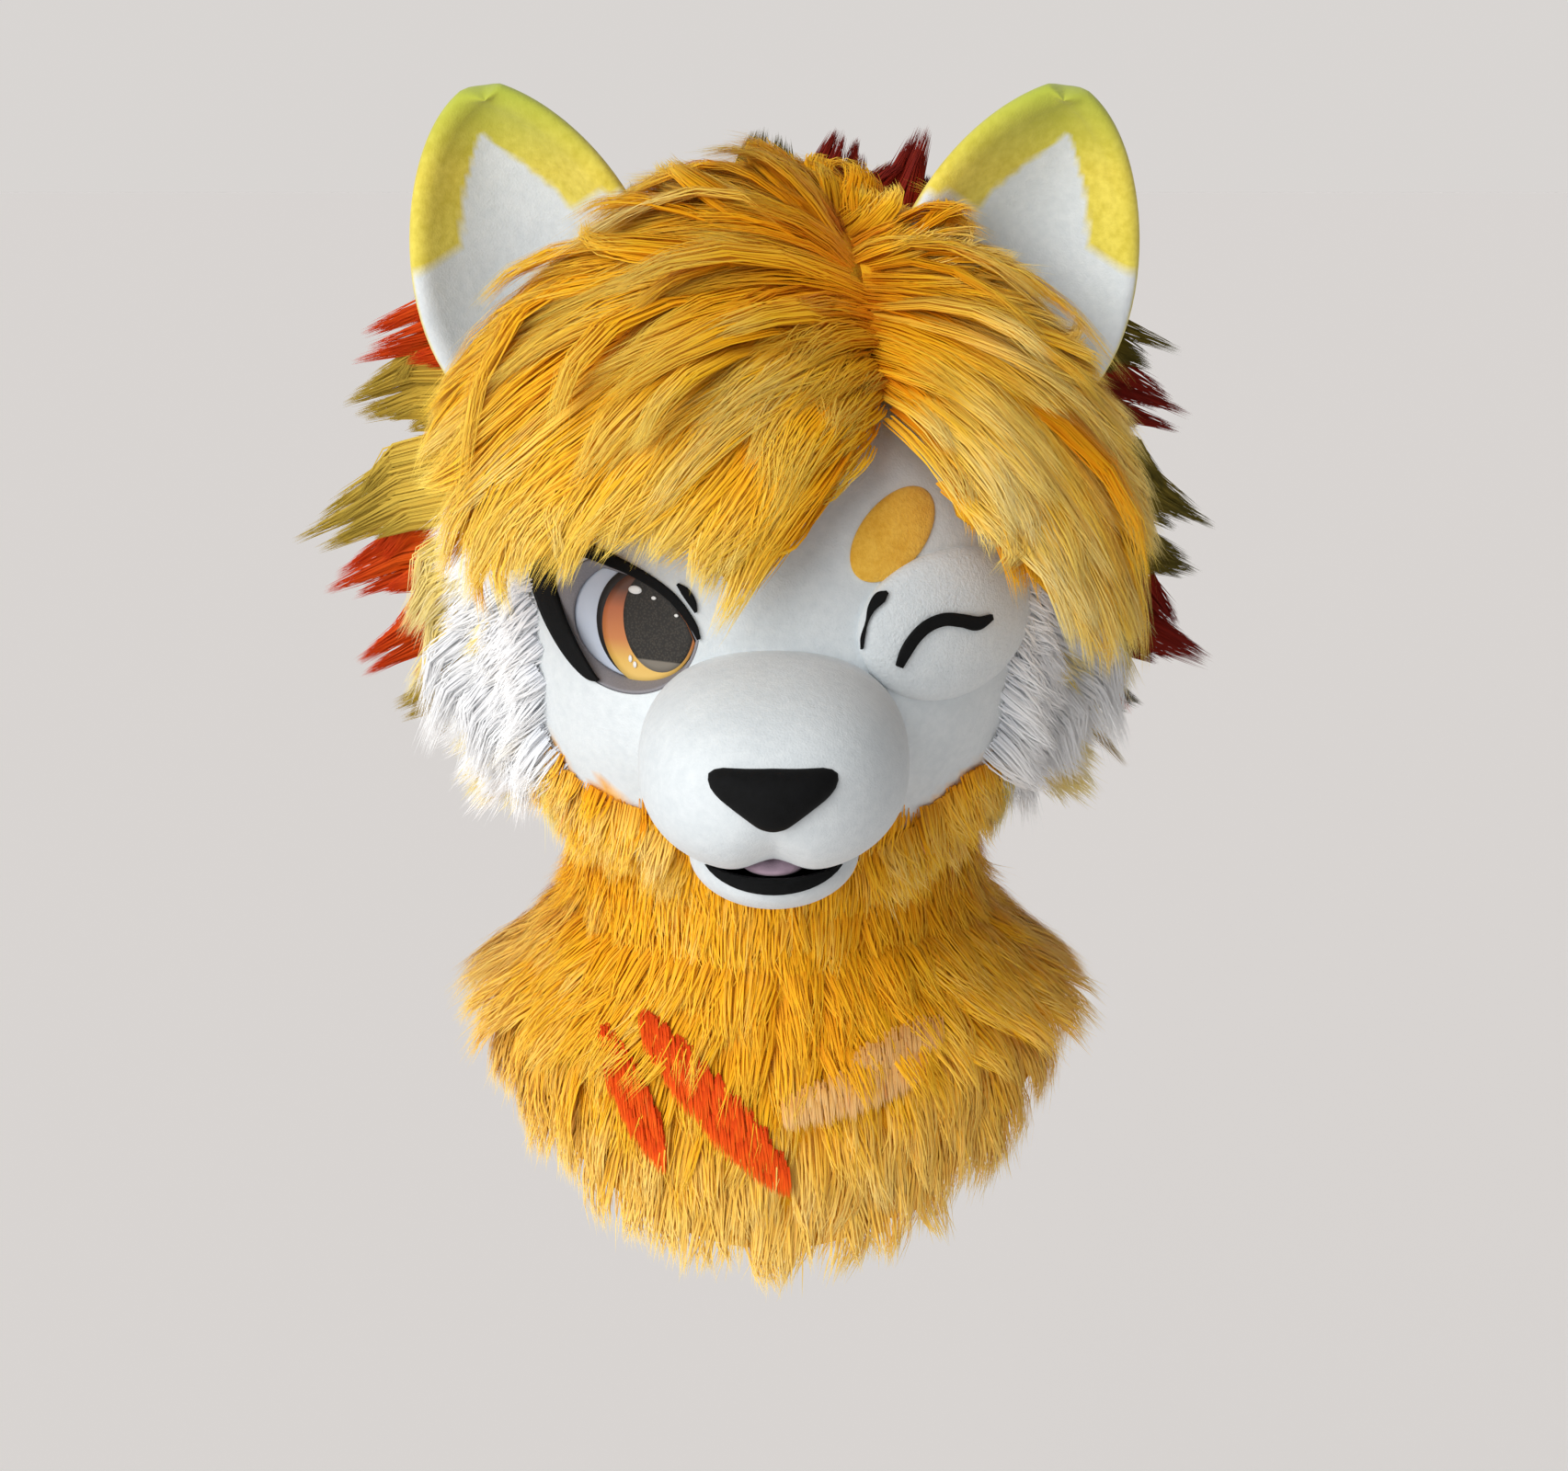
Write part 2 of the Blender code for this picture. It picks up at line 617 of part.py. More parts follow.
def pillow(name, centre, half, thickness, look, parts, turn=0.0, shape=None, surface=on_face):
    """A pad that lies on the face: a sphere primitive laid over the surface and swollen outward."""
    bm = bmesh.new()
    flat = Matrix.Rotation(math.radians(90), 4, "X")
    bmesh.ops.create_uvsphere(bm, u_segments=18, v_segments=8, radius=1.0, matrix=flat)
    turned = Matrix.Rotation(turn, 2)
    for vertex in bm.verts:
        u, v, w = vertex.co.x, vertex.co.z, vertex.co.y
        stretch = shape(math.atan2(v, u)) if shape else 1.0
        spot = turned @ Vector((half[0] * u * stretch, half[1] * v * stretch))
        swell = thickness * math.sqrt(max(0.0, 1 - math.hypot(u, v) ** 4)) if w < 0 else 0.0
        vertex.co = surface(centre[0] + spot.x, centre[1] + spot.y, SEAT_LIFT + swell)
    return add_object(name, bm, look, parts)


def nose_shape(angle):
    """How far the nose's outline stands from its middle, for a triangle with round corners."""
    third = math.tau / 3
    from_corner = (angle + math.pi / 2 + third / 2) % third - third / 2
    edge = math.cos(third / 2) / math.cos(math.pi / 3 - abs(from_corner))
    return 1.16 * (0.30 + 0.70 * edge)


def ellipsoid(name, centre, size, look, parts, segments=22, rings=12, warp=None):
    """A stretched sphere primitive, with an optional change to its points."""
    bm = bmesh.new()
    bmesh.ops.create_uvsphere(bm, u_segments=segments, v_segments=rings, radius=1.0)
    for vertex in bm.verts:
        unit = vertex.co.copy()
        place = Vector((unit.x * size.x, unit.y * size.y, unit.z * size.z)) + centre
        vertex.co = warp(unit, place) if warp else place
    return add_object(name, bm, look, parts)


def lip_warp(unit, place):
    """Draws the muzzle's lower front up along its middle, so that two lips hang beside a groove."""
    front = max(0.0, -unit.y)
    low = max(0.0, -unit.z)
    groove = math.exp(-((unit.x / 0.20) ** 2)) * front * low
    return place + Vector((0, 0.010 * groove, 0.016 * groove * low))


def close_cut(bm):
    """Fills the flat openings that a cut by a plane leaves."""
    rims = [edge for edge in bm.edges if edge.is_boundary]
    bmesh.ops.holes_fill(bm, edges=rims, sides=0)


def mouth_form(name, swell, above_lip, look, parts):
    """The jaw's form below the level of the mouth; the lip keeps only what is over the slanted plane."""
    bm = bmesh.new()
    bmesh.ops.create_uvsphere(bm, u_segments=18, v_segments=10, radius=1.0)
    for vertex in bm.verts:
        unit = vertex.co.copy()
        size = JAW_SIZE + Vector((swell, swell, swell))
        vertex.co = JAW_CENTRE + Vector((unit.x * size.x, unit.y * size.y, unit.z * size.z))
    slice_away(bm, (0, 0, MOUTH_LEVEL), (0, 0, 1))
    close_cut(bm)
    if above_lip:
        slice_away(bm, LIP_CORNER, (0, LIP_SLOPE, -1))
        close_cut(bm)
    return add_object(name, bm, look, parts)


def build_muzzle(parts, cutters, shell):
    """Muzzle, nose, tongue, black lower lip and jaw, each cut back from those before it."""
    muzzle = ellipsoid("muzzle", MUZZLE_CENTRE, MUZZLE_SIZE, "plush_white", parts, warp=lip_warp)
    clear_of(muzzle, [shell], cutters)
    nose = pillow(
        "nose", NOSE_CENTRE, NOSE_HALF, NOSE_THICKNESS, "felt_black", parts, shape=nose_shape,
        surface=on_muzzle,
    )
    clear_of(nose, [muzzle], cutters)
    lip = mouth_form("lower_lip", LIP_SWELL, True, "felt_black", parts)
    clear_of(lip, [shell, muzzle], cutters)
    jaw = mouth_form("lower_jaw", 0.0, False, "plush_white", parts)
    clear_of(jaw, [shell, muzzle, lip], cutters)
    tongue = ellipsoid("tongue", TONGUE_CENTRE, TONGUE_SIZE, "tongue_pink", parts, 14, 8)
    clear_of(tongue, [muzzle, lip, jaw], cutters)
    return muzzle, nose, lip, jaw, tongue


class FeltPoint(NamedTuple):
    """One station of a felt strip on the face."""

    x: float
    z: float
    half_width: float


EYELINER = (
    FeltPoint(-0.0350, -0.1210, 0.0010),
    FeltPoint(-0.0480, -0.1110, 0.0022),
    FeltPoint(-0.0660, -0.0985, 0.0032),
    FeltPoint(-0.0860, -0.0890, 0.0036),
    FeltPoint(-0.1045, -0.0910, 0.0042),
    FeltPoint(-0.1120, -0.1060, 0.0054),
    FeltPoint(-0.1110, -0.1250, 0.0056),
    FeltPoint(-0.1040, -0.1410, 0.0050),
    FeltPoint(-0.0925, -0.1545, 0.0036),
    FeltPoint(-0.0860, -0.1590, 0.0012),
)
EYE_CORNER_RIGHT = (
    FeltPoint(-0.0440, -0.1085, 0.0014),
    FeltPoint(-0.0390, -0.1120, 0.0030),
    FeltPoint(-0.0355, -0.1175, 0.0012),
)
EYE_CORNER_LEFT = (
    FeltPoint(0.0560, -0.1080, 0.0016),
    FeltPoint(0.0500, -0.1125, 0.0032),
    FeltPoint(0.0455, -0.1185, 0.0016),
)
LID_LINE = (
    FeltPoint(0.0645, -0.1450, 0.0022),
    FeltPoint(0.0690, -0.1350, 0.0030),
    FeltPoint(0.0770, -0.1260, 0.0034),
    FeltPoint(0.0870, -0.1215, 0.0036),
    FeltPoint(0.0970, -0.1230, 0.0038),
    FeltPoint(0.1050, -0.1265, 0.0040),
    FeltPoint(0.1110, -0.1255, 0.0024),
)


def felt_strip(name, stations, surface, parts):
    """A flat strip of felt laid along the stations on a surface."""
    sections = []
    for index, station in enumerate(stations):
        before = stations[max(0, index - 1)]
        after = stations[min(len(stations) - 1, index + 1)]
        along = Vector((after.x - before.x, after.z - before.z)).normalized()
        across = Vector((-along.y, along.x)) * station.half_width
        ring = []
        for side, lift in ((1, 0.0), (-1, 0.0), (-1, 1.0), (1, 1.0)):
            x, z = station.x + side * across.x, station.z + side * across.y
            ring.append(surface(x, z, SEAT_LIFT + lift * FELT_THICKNESS))
        sections.append(ring)
    bm = bmesh.new()
    loft(bm, sections)
    return add_object(name, bm, "felt_black", parts)


def build_face_pieces(parts, cutters):
    """The closed eyelid pad with its line, the liners, the eye corners and the brow patch."""
    pad = pillow("eyelid_pad", LID_PAD_CENTRE, LID_PAD_HALF, LID_PAD_THICKNESS, "plush_white", parts)
    line = felt_strip("eyelid_line", LID_LINE, on_eyelid_pad, parts)
    clear_of(line, [pad], cutters)
    liner = felt_strip("eyeliner", EYELINER, on_face, parts)
    right = felt_strip("eye_corner_right", EYE_CORNER_RIGHT, on_face, parts)
    clear_of(right, [liner], cutters)
    left = felt_strip("eye_corner_left", EYE_CORNER_LEFT, on_face, parts)
    clear_of(left, [pad], cutters)
    brow = pillow(
        "brow_patch", BROW_CENTRE, BROW_HALF, BROW_THICKNESS, "fur_yellow", parts, turn=BROW_TURN
    )
    clear_of(brow, [pad, left], cutters)
    return pad, line, liner, right, left, brow


def cubic(points, t):
    """A point on a cubic curve through two ends, pulled by two handles."""
    a, b, c, d = (Vector(point) for point in points)
    s = 1 - t
    return a * s**3 + b * 3 * s * s * t + c * 3 * s * t * t + d * t**3


def ear_front(s, t):
    """A point of the ear's front: s runs from the outer edge to the inner, t from base to tip."""
    outer, inner = cubic(EAR_OUTER_EDGE, t), cubic(EAR_INNER_EDGE, t)
    flat = outer.lerp(inner, (s + 1) / 2)
    cup = EAR_CUP * (1 - EAR_CUP_LOST * max(0.0, t) ** 1.5) * (1 - s * s)
    return Vector((flat.x, EAR_EDGE_Y + cup, flat.y))


def ear_point(s, t, lift=0.0):
    """A point of the ear's front, lifted square off it."""
    step = 0.01
    across = ear_front(s + step, t) - ear_front(s - step, t)
    upward = ear_front(s, t + step) - ear_front(s, t - step)
    outward = upward.cross(across).normalized()
    if outward.y > 0:
        outward.negate()
    return ear_front(s, t) + outward * lift


def ear_sheet(name, side, columns, rows, place, wall, look, parts):
    """A grid primitive laid on the ear and given a wall behind it."""
    bm = bmesh.new()
    bmesh.ops.create_grid(bm, x_segments=columns, y_segments=rows, size=1.0)
    for vertex in bm.verts:
        point = place(vertex.co.x, (vertex.co.y + 1) / 2)
        vertex.co = Vector((side * point.x, point.y, point.z))
    obj = add_object(name, bm, look, parts)
    if sum(face.normal.y * face.area for face in obj.data.polygons) > 0:
        obj.data.flip_normals()
    solid = obj.modifiers.new("Wall", "SOLIDIFY")
    solid.thickness = wall
    solid.offset = -1.0
    solid.use_even_offset = True
    return settle(obj)


def panel_point(s, share):
    """A point of the ear's white panel: across it, and up the rows of its table."""
    place = share * (len(EAR_PANEL) - 1)
    low = min(int(place), len(EAR_PANEL) - 2)
    row = EarPanelRow(*(a + (b - a) * (place - low) for a, b in zip(*EAR_PANEL[low : low + 2])))
    across = row.outer + (row.inner - row.outer) * (s + 1) / 2
    return ear_point(across, row.height, EAR_PANEL_LIFT)


def build_ear(side, word, parts, cutters, head_form):
    """One ear and its white panel."""
    ear = ear_sheet(
        "ear_" + word, side, 7, 8, lambda s, t: ear_point(s, t * EAR_TOP),
        EAR_THICKNESS, "ear_yellow", parts,
    )
    panel = ear_sheet(
        "ear_panel_" + word, side, 6, len(EAR_PANEL) - 1, panel_point, EAR_PANEL_THICKNESS,
        "plush_white", parts,
    )
    for obj in (ear, panel):
        boolean(obj, head_form)
    return ear, panel


def head_form(name, lift, cutters):
    """A hidden solid of the whole head, lifted off it by a function of the place."""
    bm = sphere_of_directions()
    for vertex in bm.verts:
        vertex.co = shell_point(vertex.co, lift(shell_point(vertex.co)))
    return hide(add_object(name, bm, "felt_black", cutters))


def half_space(name, point, outward, cutters):
    """A large hidden block that lies on the outward side of a plane."""
    way = Vector(outward).normalized()
    bm = bmesh.new()
    bmesh.ops.create_cube(bm, size=2.0)
    turn = way.to_track_quat("Z", "Y").to_matrix().to_4x4()
    bmesh.ops.transform(bm, verts=bm.verts, matrix=turn)
    bmesh.ops.translate(bm, verts=bm.verts, vec=Vector(point) + way)
    return hide(add_object(name, bm, "felt_black", cutters))


def fur_backing(planes, pile):
    """A patch of the head between these planes, thickened outward by the pile."""
    bm = sphere_of_directions()
    for vertex in bm.verts:
        vertex.co = shell_point(vertex.co, -0.4 * SHELL_WALL)
    for point, outward in planes:
        slice_away(bm, point, outward)
    patch = bmesh.ops.extrude_face_region(bm, geom=bm.faces[:], use_keep_orig=True)
    for vertex in (item for item in patch["geom"] if isinstance(item, bmesh.types.BMVert)):
        outward = (vertex.co - HEAD_CENTRE).normalized()
        vertex.co += outward * (0.4 * SHELL_WALL + pile(vertex.co))
    return bm


def bend(lock, t):
    """A point on the lock's curve."""
    root, knee, tip = Vector(lock.root), Vector(lock.knee), Vector(lock.tip)
    return root * (1 - t) ** 2 + knee * 2 * t * (1 - t) + tip * t * t


def add_lock(bm, lock, centre=HEAD_CENTRE, flatness=0.42):
    """A bent, flattened cone for one lock, made from rings round its curve."""
    sections = []
    for t, fullness in zip(LOCK_STATIONS, LOCK_FULLNESS):
        here = bend(lock, t)
        along = (bend(lock, min(1, t + 0.05)) - bend(lock, max(0, t - 0.05))).normalized()
        outward = (here - centre).normalized()
        across = along.cross(outward).normalized()
        upward = across.cross(along).normalized()
        half = lock.half_width * fullness
        ring = []
        for corner in range(LOCK_SIDES):
            angle = math.tau * corner / LOCK_SIDES
            offset = across * (half * math.cos(angle))
            offset += upward * (half * flatness * math.sin(angle))
            ring.append(here + offset)
        sections.append(ring)
    loft(bm, sections)


def fur_piece(name, backing, locks, triangles, look, parts, cutters, **lock_options):
    """A backing and its locks, fused into one skin and thinned."""
    for lock in locks:
        add_lock(backing, lock, **lock_options)
    obj = add_object(name, backing, look, parts)
    fuse = obj.modifiers.new("Fuse", "REMESH")
    fuse.mode = "VOXEL"
    fuse.voxel_size = FUR_GRID
    settle(obj)
    thin = obj.modifiers.new("Thin", "DECIMATE")
    thin.ratio = min(1.0, triangles / len(obj.data.polygons))
    return settle(obj)


def hair_pile(point):
    """How deep the hair stands off the head: deepest on the crown, thin at the hairline."""
    rise = min(1.0, max(0.0, (point.z - HAIRLINE_LEVEL) / (CROWN_RISE + HEAD_CENTRE.z - HAIRLINE_LEVEL)))
    return BACKING + (HAIR_TOP_PILE - BACKING) * rise**1.5


def build_hair(parts, cutters, neighbours):
    """The cap of long hair with its fringe swept both ways off the parting."""
    planes = (((0, 0, HAIRLINE_LEVEL), (0, 0, -1)), ((0, CROWN_BACK + OVERCUT, 0), (0, 1, 0)))
    locks = FRINGE_RIGHT_LOCKS + FRINGE_LEFT_LOCKS + CROWN_LOCKS
    backing = fur_backing(planes, hair_pile)
    hair = fur_piece("hair", backing, locks, HAIR_TRIANGLES, "fur_crown", parts, cutters)
    form = head_form("cutter_face", lambda spot: hair_clearance(spot.z), cutters)
    back = half_space("cutter_crown", (0, CROWN_BACK - SEAM_GAP, 0), (0, 1, 0), cutters)
    for cutter in (form, back):
        boolean(hair, cutter)
    return clear_of(hair, neighbours, cutters)


def hair_clearance(level):
    """How far hair stands off the head: it lies on the crown, and hangs clear of the face's felts."""
    share = min(1.0, max(0.0, (HAIRLINE_LEVEL - level) / 0.012))
    return CUT_GAP + (FACE_CLEARANCE - CUT_GAP) * share


def back_locks():
    """Rows of tufts down the back of the head, set half a step aside from row to row."""
    locks = []
    for row_index, row in enumerate(BACK_ROWS):
        for step in range(row.count):
            share = (step - (row.count - 1) / 2) / ((row.count - 1) / 2)
            turn = share * row.spread * math.pi / 2 * 0.86
            way = Vector((math.sin(turn), math.cos(turn), 0))
            level = row.level - 0.006 * (step % 2)
            towards = way * NAPE_REACH + Vector((0, 0, level - HEAD_CENTRE.z))
            root = shell_point(towards, 0.012)
            length = row.reach * (1.0 if (step + row_index) % 2 else 0.86)
            knee = root + way * length * 0.62 + Vector((0, 0, 0.012))
            tip = root + way * length + Vector((0, 0, -row.droop))
            locks.append(Lock(tuple(root), tuple(knee), tuple(tip), row.half_width))
    return tuple(locks)


def build_mane(parts, cutters, form, neighbours):
    """The ring of pointed tufts behind the ears and down the back."""
    planes = (((0, CROWN_BACK - OVERCUT, 0), (0, -1, 0)), ((0, 0, CHEEK_LEVEL), (0, 0, -1)))
    locks = MANE_RIGHT_LOCKS + MANE_LEFT_LOCKS + MANE_TOP_LOCKS + back_locks()
    backing = fur_backing(planes, lambda _: MANE_PILE)
    mane = fur_piece("mane", backing, locks, MANE_TRIANGLES, "fur_yellow", parts, cutters)
    front = half_space("cutter_mane", (0, CROWN_BACK + SEAM_GAP, 0), (0, -1, 0), cutters)
    for cutter in (form, front):
        boolean(mane, cutter)
    return clear_of(mane, neighbours, cutters)


def build_cheek(side, word, locks, parts, cutters, form, neighbours):
    """The white ruff over one cheek."""
    planes = (
        ((0, CHEEK_FRONT, 0), (0, -1, 0)),
        ((0, CROWN_BACK + OVERCUT, 0), (0, 1, 0)),
        ((0, 0, HAIRLINE_LEVEL + OVERCUT), (0, 0, 1)),
        ((0, 0, CHEEK_LEVEL), (0, 0, -1)),
        ((0, 0, 0), (-side, 0, 0)),
    )
    name = "cheek_fur_" + word
    backing = fur_backing(planes, lambda _: CHEEK_PILE)
    cheek = fur_piece(name, backing, locks, CHEEK_TRIANGLES, "plush_white", parts, cutters)
    back = half_space("cutter_" + name, (0, CROWN_BACK - SEAM_GAP, 0), (0, 1, 0), cutters)
    for cutter in (form, back):
        boolean(cheek, cutter)
    return clear_of(cheek, neighbours, cutters)


def bib_hem(angle):
    """The level of the bib's hem at this angle from the front."""
    ends = BIB_HEM_FRONT if math.cos(angle) > 0 else BIB_HEM_BACK
    return ends + (BIB_HEM_SIDE - ends) * abs(math.sin(angle)) ** BIB_HEM_POWER


def shell_ring(level):
    """The shell's outer size at this level, as a ring of the bib."""
    sizes = []
    for way in (Vector((1, 0, 0)), Vector((0, -1, 0)), Vector((0, 1, 0))):
        low, high = 0.0, 0.3
        for _ in range(30):
            middle = (low + high) / 2
            offset = way * middle + Vector((0, 0, level - HEAD_CENTRE.z))
            inside = offset.length < (shell_point(offset) - HEAD_CENTRE).length
            low, high = (middle, high) if inside else (low, middle)
        sizes.append(low + BIB_SHELL_CLEARANCE)
    return BibRing(level, sizes[0], HEAD_CENTRE.y - sizes[1], HEAD_CENTRE.y + sizes[2])


def bib_ring(level):
    """The bib's inner size at any level, eased between the rows of the table."""
    rim = RIM_LEVEL - 0.002
    if level >= rim:
        return shell_ring(max(level, RIM_LEVEL))
    rows = (shell_ring(RIM_LEVEL)._replace(level=rim),) + BIB_RINGS_TABLE
    for upper, lower in zip(rows, rows[1:]):
        if level >= lower.level:
            share = (upper.level - level) / (upper.level - lower.level)
            eased = share * share * (3 - 2 * share)
            return BibRing(*(u + (w - u) * eased for u, w in zip(upper, lower)))
    return rows[-1]


def bib_point(angle, share, lift=0.0):
    """A point of the bib: its angle from the front, and its share of the way from top to hem."""
    level = BIB_TOP + (bib_hem(angle) - BIB_TOP) * share
    ring = bib_ring(level)
    middle = (ring.front + ring.back) / 2 if math.cos(angle) < 0 else HEAD_CENTRE.y
    reach = middle - ring.front if math.cos(angle) > 0 else ring.back - middle
    across = (ring.half_width + lift) * math.copysign(abs(math.sin(angle)) ** 0.94, math.sin(angle))
    along = (reach + lift) * math.copysign(abs(math.cos(angle)) ** 0.94, math.cos(angle))
    return Vector((across, middle - along, level))


def bib_tube(lift):
    """The bib's surface as an open tube: a cone primitive with rings cut in, laid on its table."""
    bm = bmesh.new()
    bmesh.ops.create_cone(
        bm, cap_ends=False, segments=BIB_SEGMENTS, radius1=1.0, radius2=1.0, depth=2.0
    )
    for step in range(1, BIB_RINGS):
        level = -1 + 2 * step / BIB_RINGS
        everything = bm.verts[:] + bm.edges[:] + bm.faces[:]
        bmesh.ops.bisect_plane(bm, geom=everything, plane_co=(0, 0, level), plane_no=(0, 0, 1))
    for vertex in bm.verts:
        angle = math.atan2(vertex.co.x, -vertex.co.y)
        vertex.co = bib_point(angle, (1 - vertex.co.z) / 2, lift)
    return bm


def bib_cutter(cutters):
    """A hidden solid that fills the bib and stands a little off it."""
    bm = bib_tube(BIB_WALL + BIB_CLEARANCE)
    top = max(vertex.co.z for vertex in bm.verts)
    for vertex in bm.verts:
        if vertex.co.z > top - 0.001:
            vertex.co.z += BIB_CLEARANCE
    close_cut(bm)
    return hide(add_object("cutter_bib", bm, "felt_black", cutters))


def hem_locks():
    """Locks round the hem, which hang from the bib's wall."""
    locks = []
    for row in HEM_LOCKS:
        for step in range(row.count):
            degrees = row.start + (row.end - row.start) * step / (row.count - 1)
            angle = math.radians(degrees)
            root = bib_point(angle, 0.90, BIB_WALL * 0.5)
            edge = bib_point(angle, 1.0, BIB_WALL * 0.6)
            away = Vector((math.sin(angle), -math.cos(angle), 0))
            length = row.length * (1.0 if step % 2 else 0.8)
            side_lean = 0.35 * abs(math.sin(angle))
            tip = edge + away * length * side_lean - Vector((0, 0, length * (1 - 0.4 * side_lean)))
            knee = edge + away * length * side_lean * 0.9
            locks.append(Lock(tuple(root), tuple(knee), tuple(tip), row.half_width))
    return locks


def build_bib(parts, cutters, form, neighbours):
    """The fur neck and bib, hollow right through, with locks along its hem."""
    bm = bib_tube(0.0)
    bib = add_object("neck_bib", bm, "fur_yellow", parts)
    wall = bib.modifiers.new("Wall", "SOLIDIFY")
    wall.thickness = BIB_WALL
    wall.offset = 1.0
    settle(bib)
    bm = evaluated_bmesh(bib)
    bpy.data.objects.remove(bib)
    locks = hem_locks()
    middle = Vector((0, HEAD_CENTRE.y, BIB_HEM_SIDE))
    bib = fur_piece(
        "neck_bib", bm, locks, BIB_TRIANGLES, "fur_yellow", parts, cutters, centre=middle,
        flatness=0.24,
    )
    boolean(bib, form)
    return clear_of(bib, neighbours, cutters)


def main():
    """Builds every piece, from the shell outward."""
    clear_scene()
    parts = make_collection("costume_head")
    cutters = make_collection("cutters")
    shell = build_shell(parts, cutters)
    build_eye(parts, cutters)
    muzzle, _, lip, jaw, _ = build_muzzle(parts, cutters, shell)
    pad = build_face_pieces(parts, cutters)[0]
    form = head_form("cutter_head", lambda _: CUT_GAP, cutters)
    ears = []
    for side, word in ((-1, "right"), (1, "left")):
        ears.extend(build_ear(side, word, parts, cutters, form))
    build_bib(parts, cutters, form, [muzzle, lip, jaw])
    hair = build_hair(parts, cutters, ears + [pad])
    bib_form = bib_cutter(cutters)
    build_mane(parts, cutters, form, ears + [bib_form])
    for side, word, locks in ((-1, "right", CHEEK_RIGHT_LOCKS), (1, "left", CHEEK_LEFT_LOCKS)):
        near = [ear for ear in ears if word in ear.name]
        build_cheek(side, word, locks, parts, cutters, form, near + [pad, bib_form, hair])


main()
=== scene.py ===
"""The looks of an animal costume head: plush face, set-in eye, winking lid, cupped ears and deep fur.

All sizes are metres in the part's own frame: the wearer's crown touches the hollow at the origin, the
face looks along -Y and +Z is up. The fur is made of tufts: each tuft is a bundle of tapered strands that
share a bent path, and every coat (hair, mane, cheeks, bib) is one table or rule that lays its tufts.
"""
import logging
import math
from dataclasses import dataclass, field
from enum import Enum
from typing import Callable, Sequence

import bmesh
import bpy
import numpy as np
from mathutils import Matrix, Vector


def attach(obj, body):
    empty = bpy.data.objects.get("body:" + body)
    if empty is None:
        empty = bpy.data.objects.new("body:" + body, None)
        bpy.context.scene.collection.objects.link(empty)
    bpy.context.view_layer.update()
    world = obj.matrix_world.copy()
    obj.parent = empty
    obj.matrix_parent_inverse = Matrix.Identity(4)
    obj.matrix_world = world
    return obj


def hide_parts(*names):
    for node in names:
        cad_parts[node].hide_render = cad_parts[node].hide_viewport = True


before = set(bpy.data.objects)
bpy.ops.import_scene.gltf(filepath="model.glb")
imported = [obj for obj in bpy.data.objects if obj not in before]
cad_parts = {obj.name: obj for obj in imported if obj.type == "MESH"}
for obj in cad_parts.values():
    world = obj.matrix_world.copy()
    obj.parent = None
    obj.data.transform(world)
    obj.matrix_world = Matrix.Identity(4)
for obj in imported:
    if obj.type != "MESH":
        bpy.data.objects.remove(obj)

LOG = logging.getLogger("costume_head")
Place = Callable[[np.ndarray, np.ndarray], np.ndarray]
Colour = tuple[float, float, float]
BODY = "root"
SEED = 5148


@dataclass(frozen=True)
class ViewPoint:
    """The photograph's point of view: in front of the head and 15 degrees above the face."""

    target: tuple[float, float, float] = (0.005, -0.130, -0.182)
    distance: float = 1.35
    elevation: float = math.radians(15)
    lens_mm: float = 62.3
    sensor_mm: float = 36.0

    def build(self) -> bpy.types.Object:
        """Makes the camera and sets it as the scene's own.

        Returns:
            The camera object.
        """
        data = bpy.data.cameras.new("front_camera")
        data.lens = self.lens_mm
        data.sensor_width = self.sensor_mm
        data.clip_start, data.clip_end = 0.05, 60.0
        camera = bpy.data.objects.new("front_camera", data)
        back = Vector((0, -math.cos(self.elevation), math.sin(self.elevation)))
        camera.location = Vector(self.target) + back * self.distance
        camera.rotation_euler = (math.pi / 2 - self.elevation, 0, 0)
        bpy.context.scene.collection.objects.link(camera)
        bpy.context.scene.camera = camera
        return camera


class Slot(Enum):
    """The record's material slot names."""

    PLUSH = "plush_white"
    YELLOW_FUR = "fur_yellow"
    CROWN_FUR = "fur_crown"
    EAR = "ear_yellow"
    FELT = "felt_black"
    EYE_GREY = "eye_grey"
    EYE_WHITE = "eye_white"
    IRIS = "iris_amber"
    PUPIL = "pupil_brown"
    TONGUE = "tongue_pink"


def linear(colour: Sequence[float]) -> tuple[float, float, float, float]:
    """Turns an sRGB colour of 0 to 255 into linear light.

    Args:
        colour: Red, green and blue as a picture shows them.

    Returns:
        Linear red, green, blue and a full alpha.
    """
    shares = [value / 255 for value in colour]
    light = [s / 12.92 if s <= 0.04045 else ((s + 0.055) / 1.055) ** 2.4 for s in shares]
    return (light[0], light[1], light[2], 1.0)


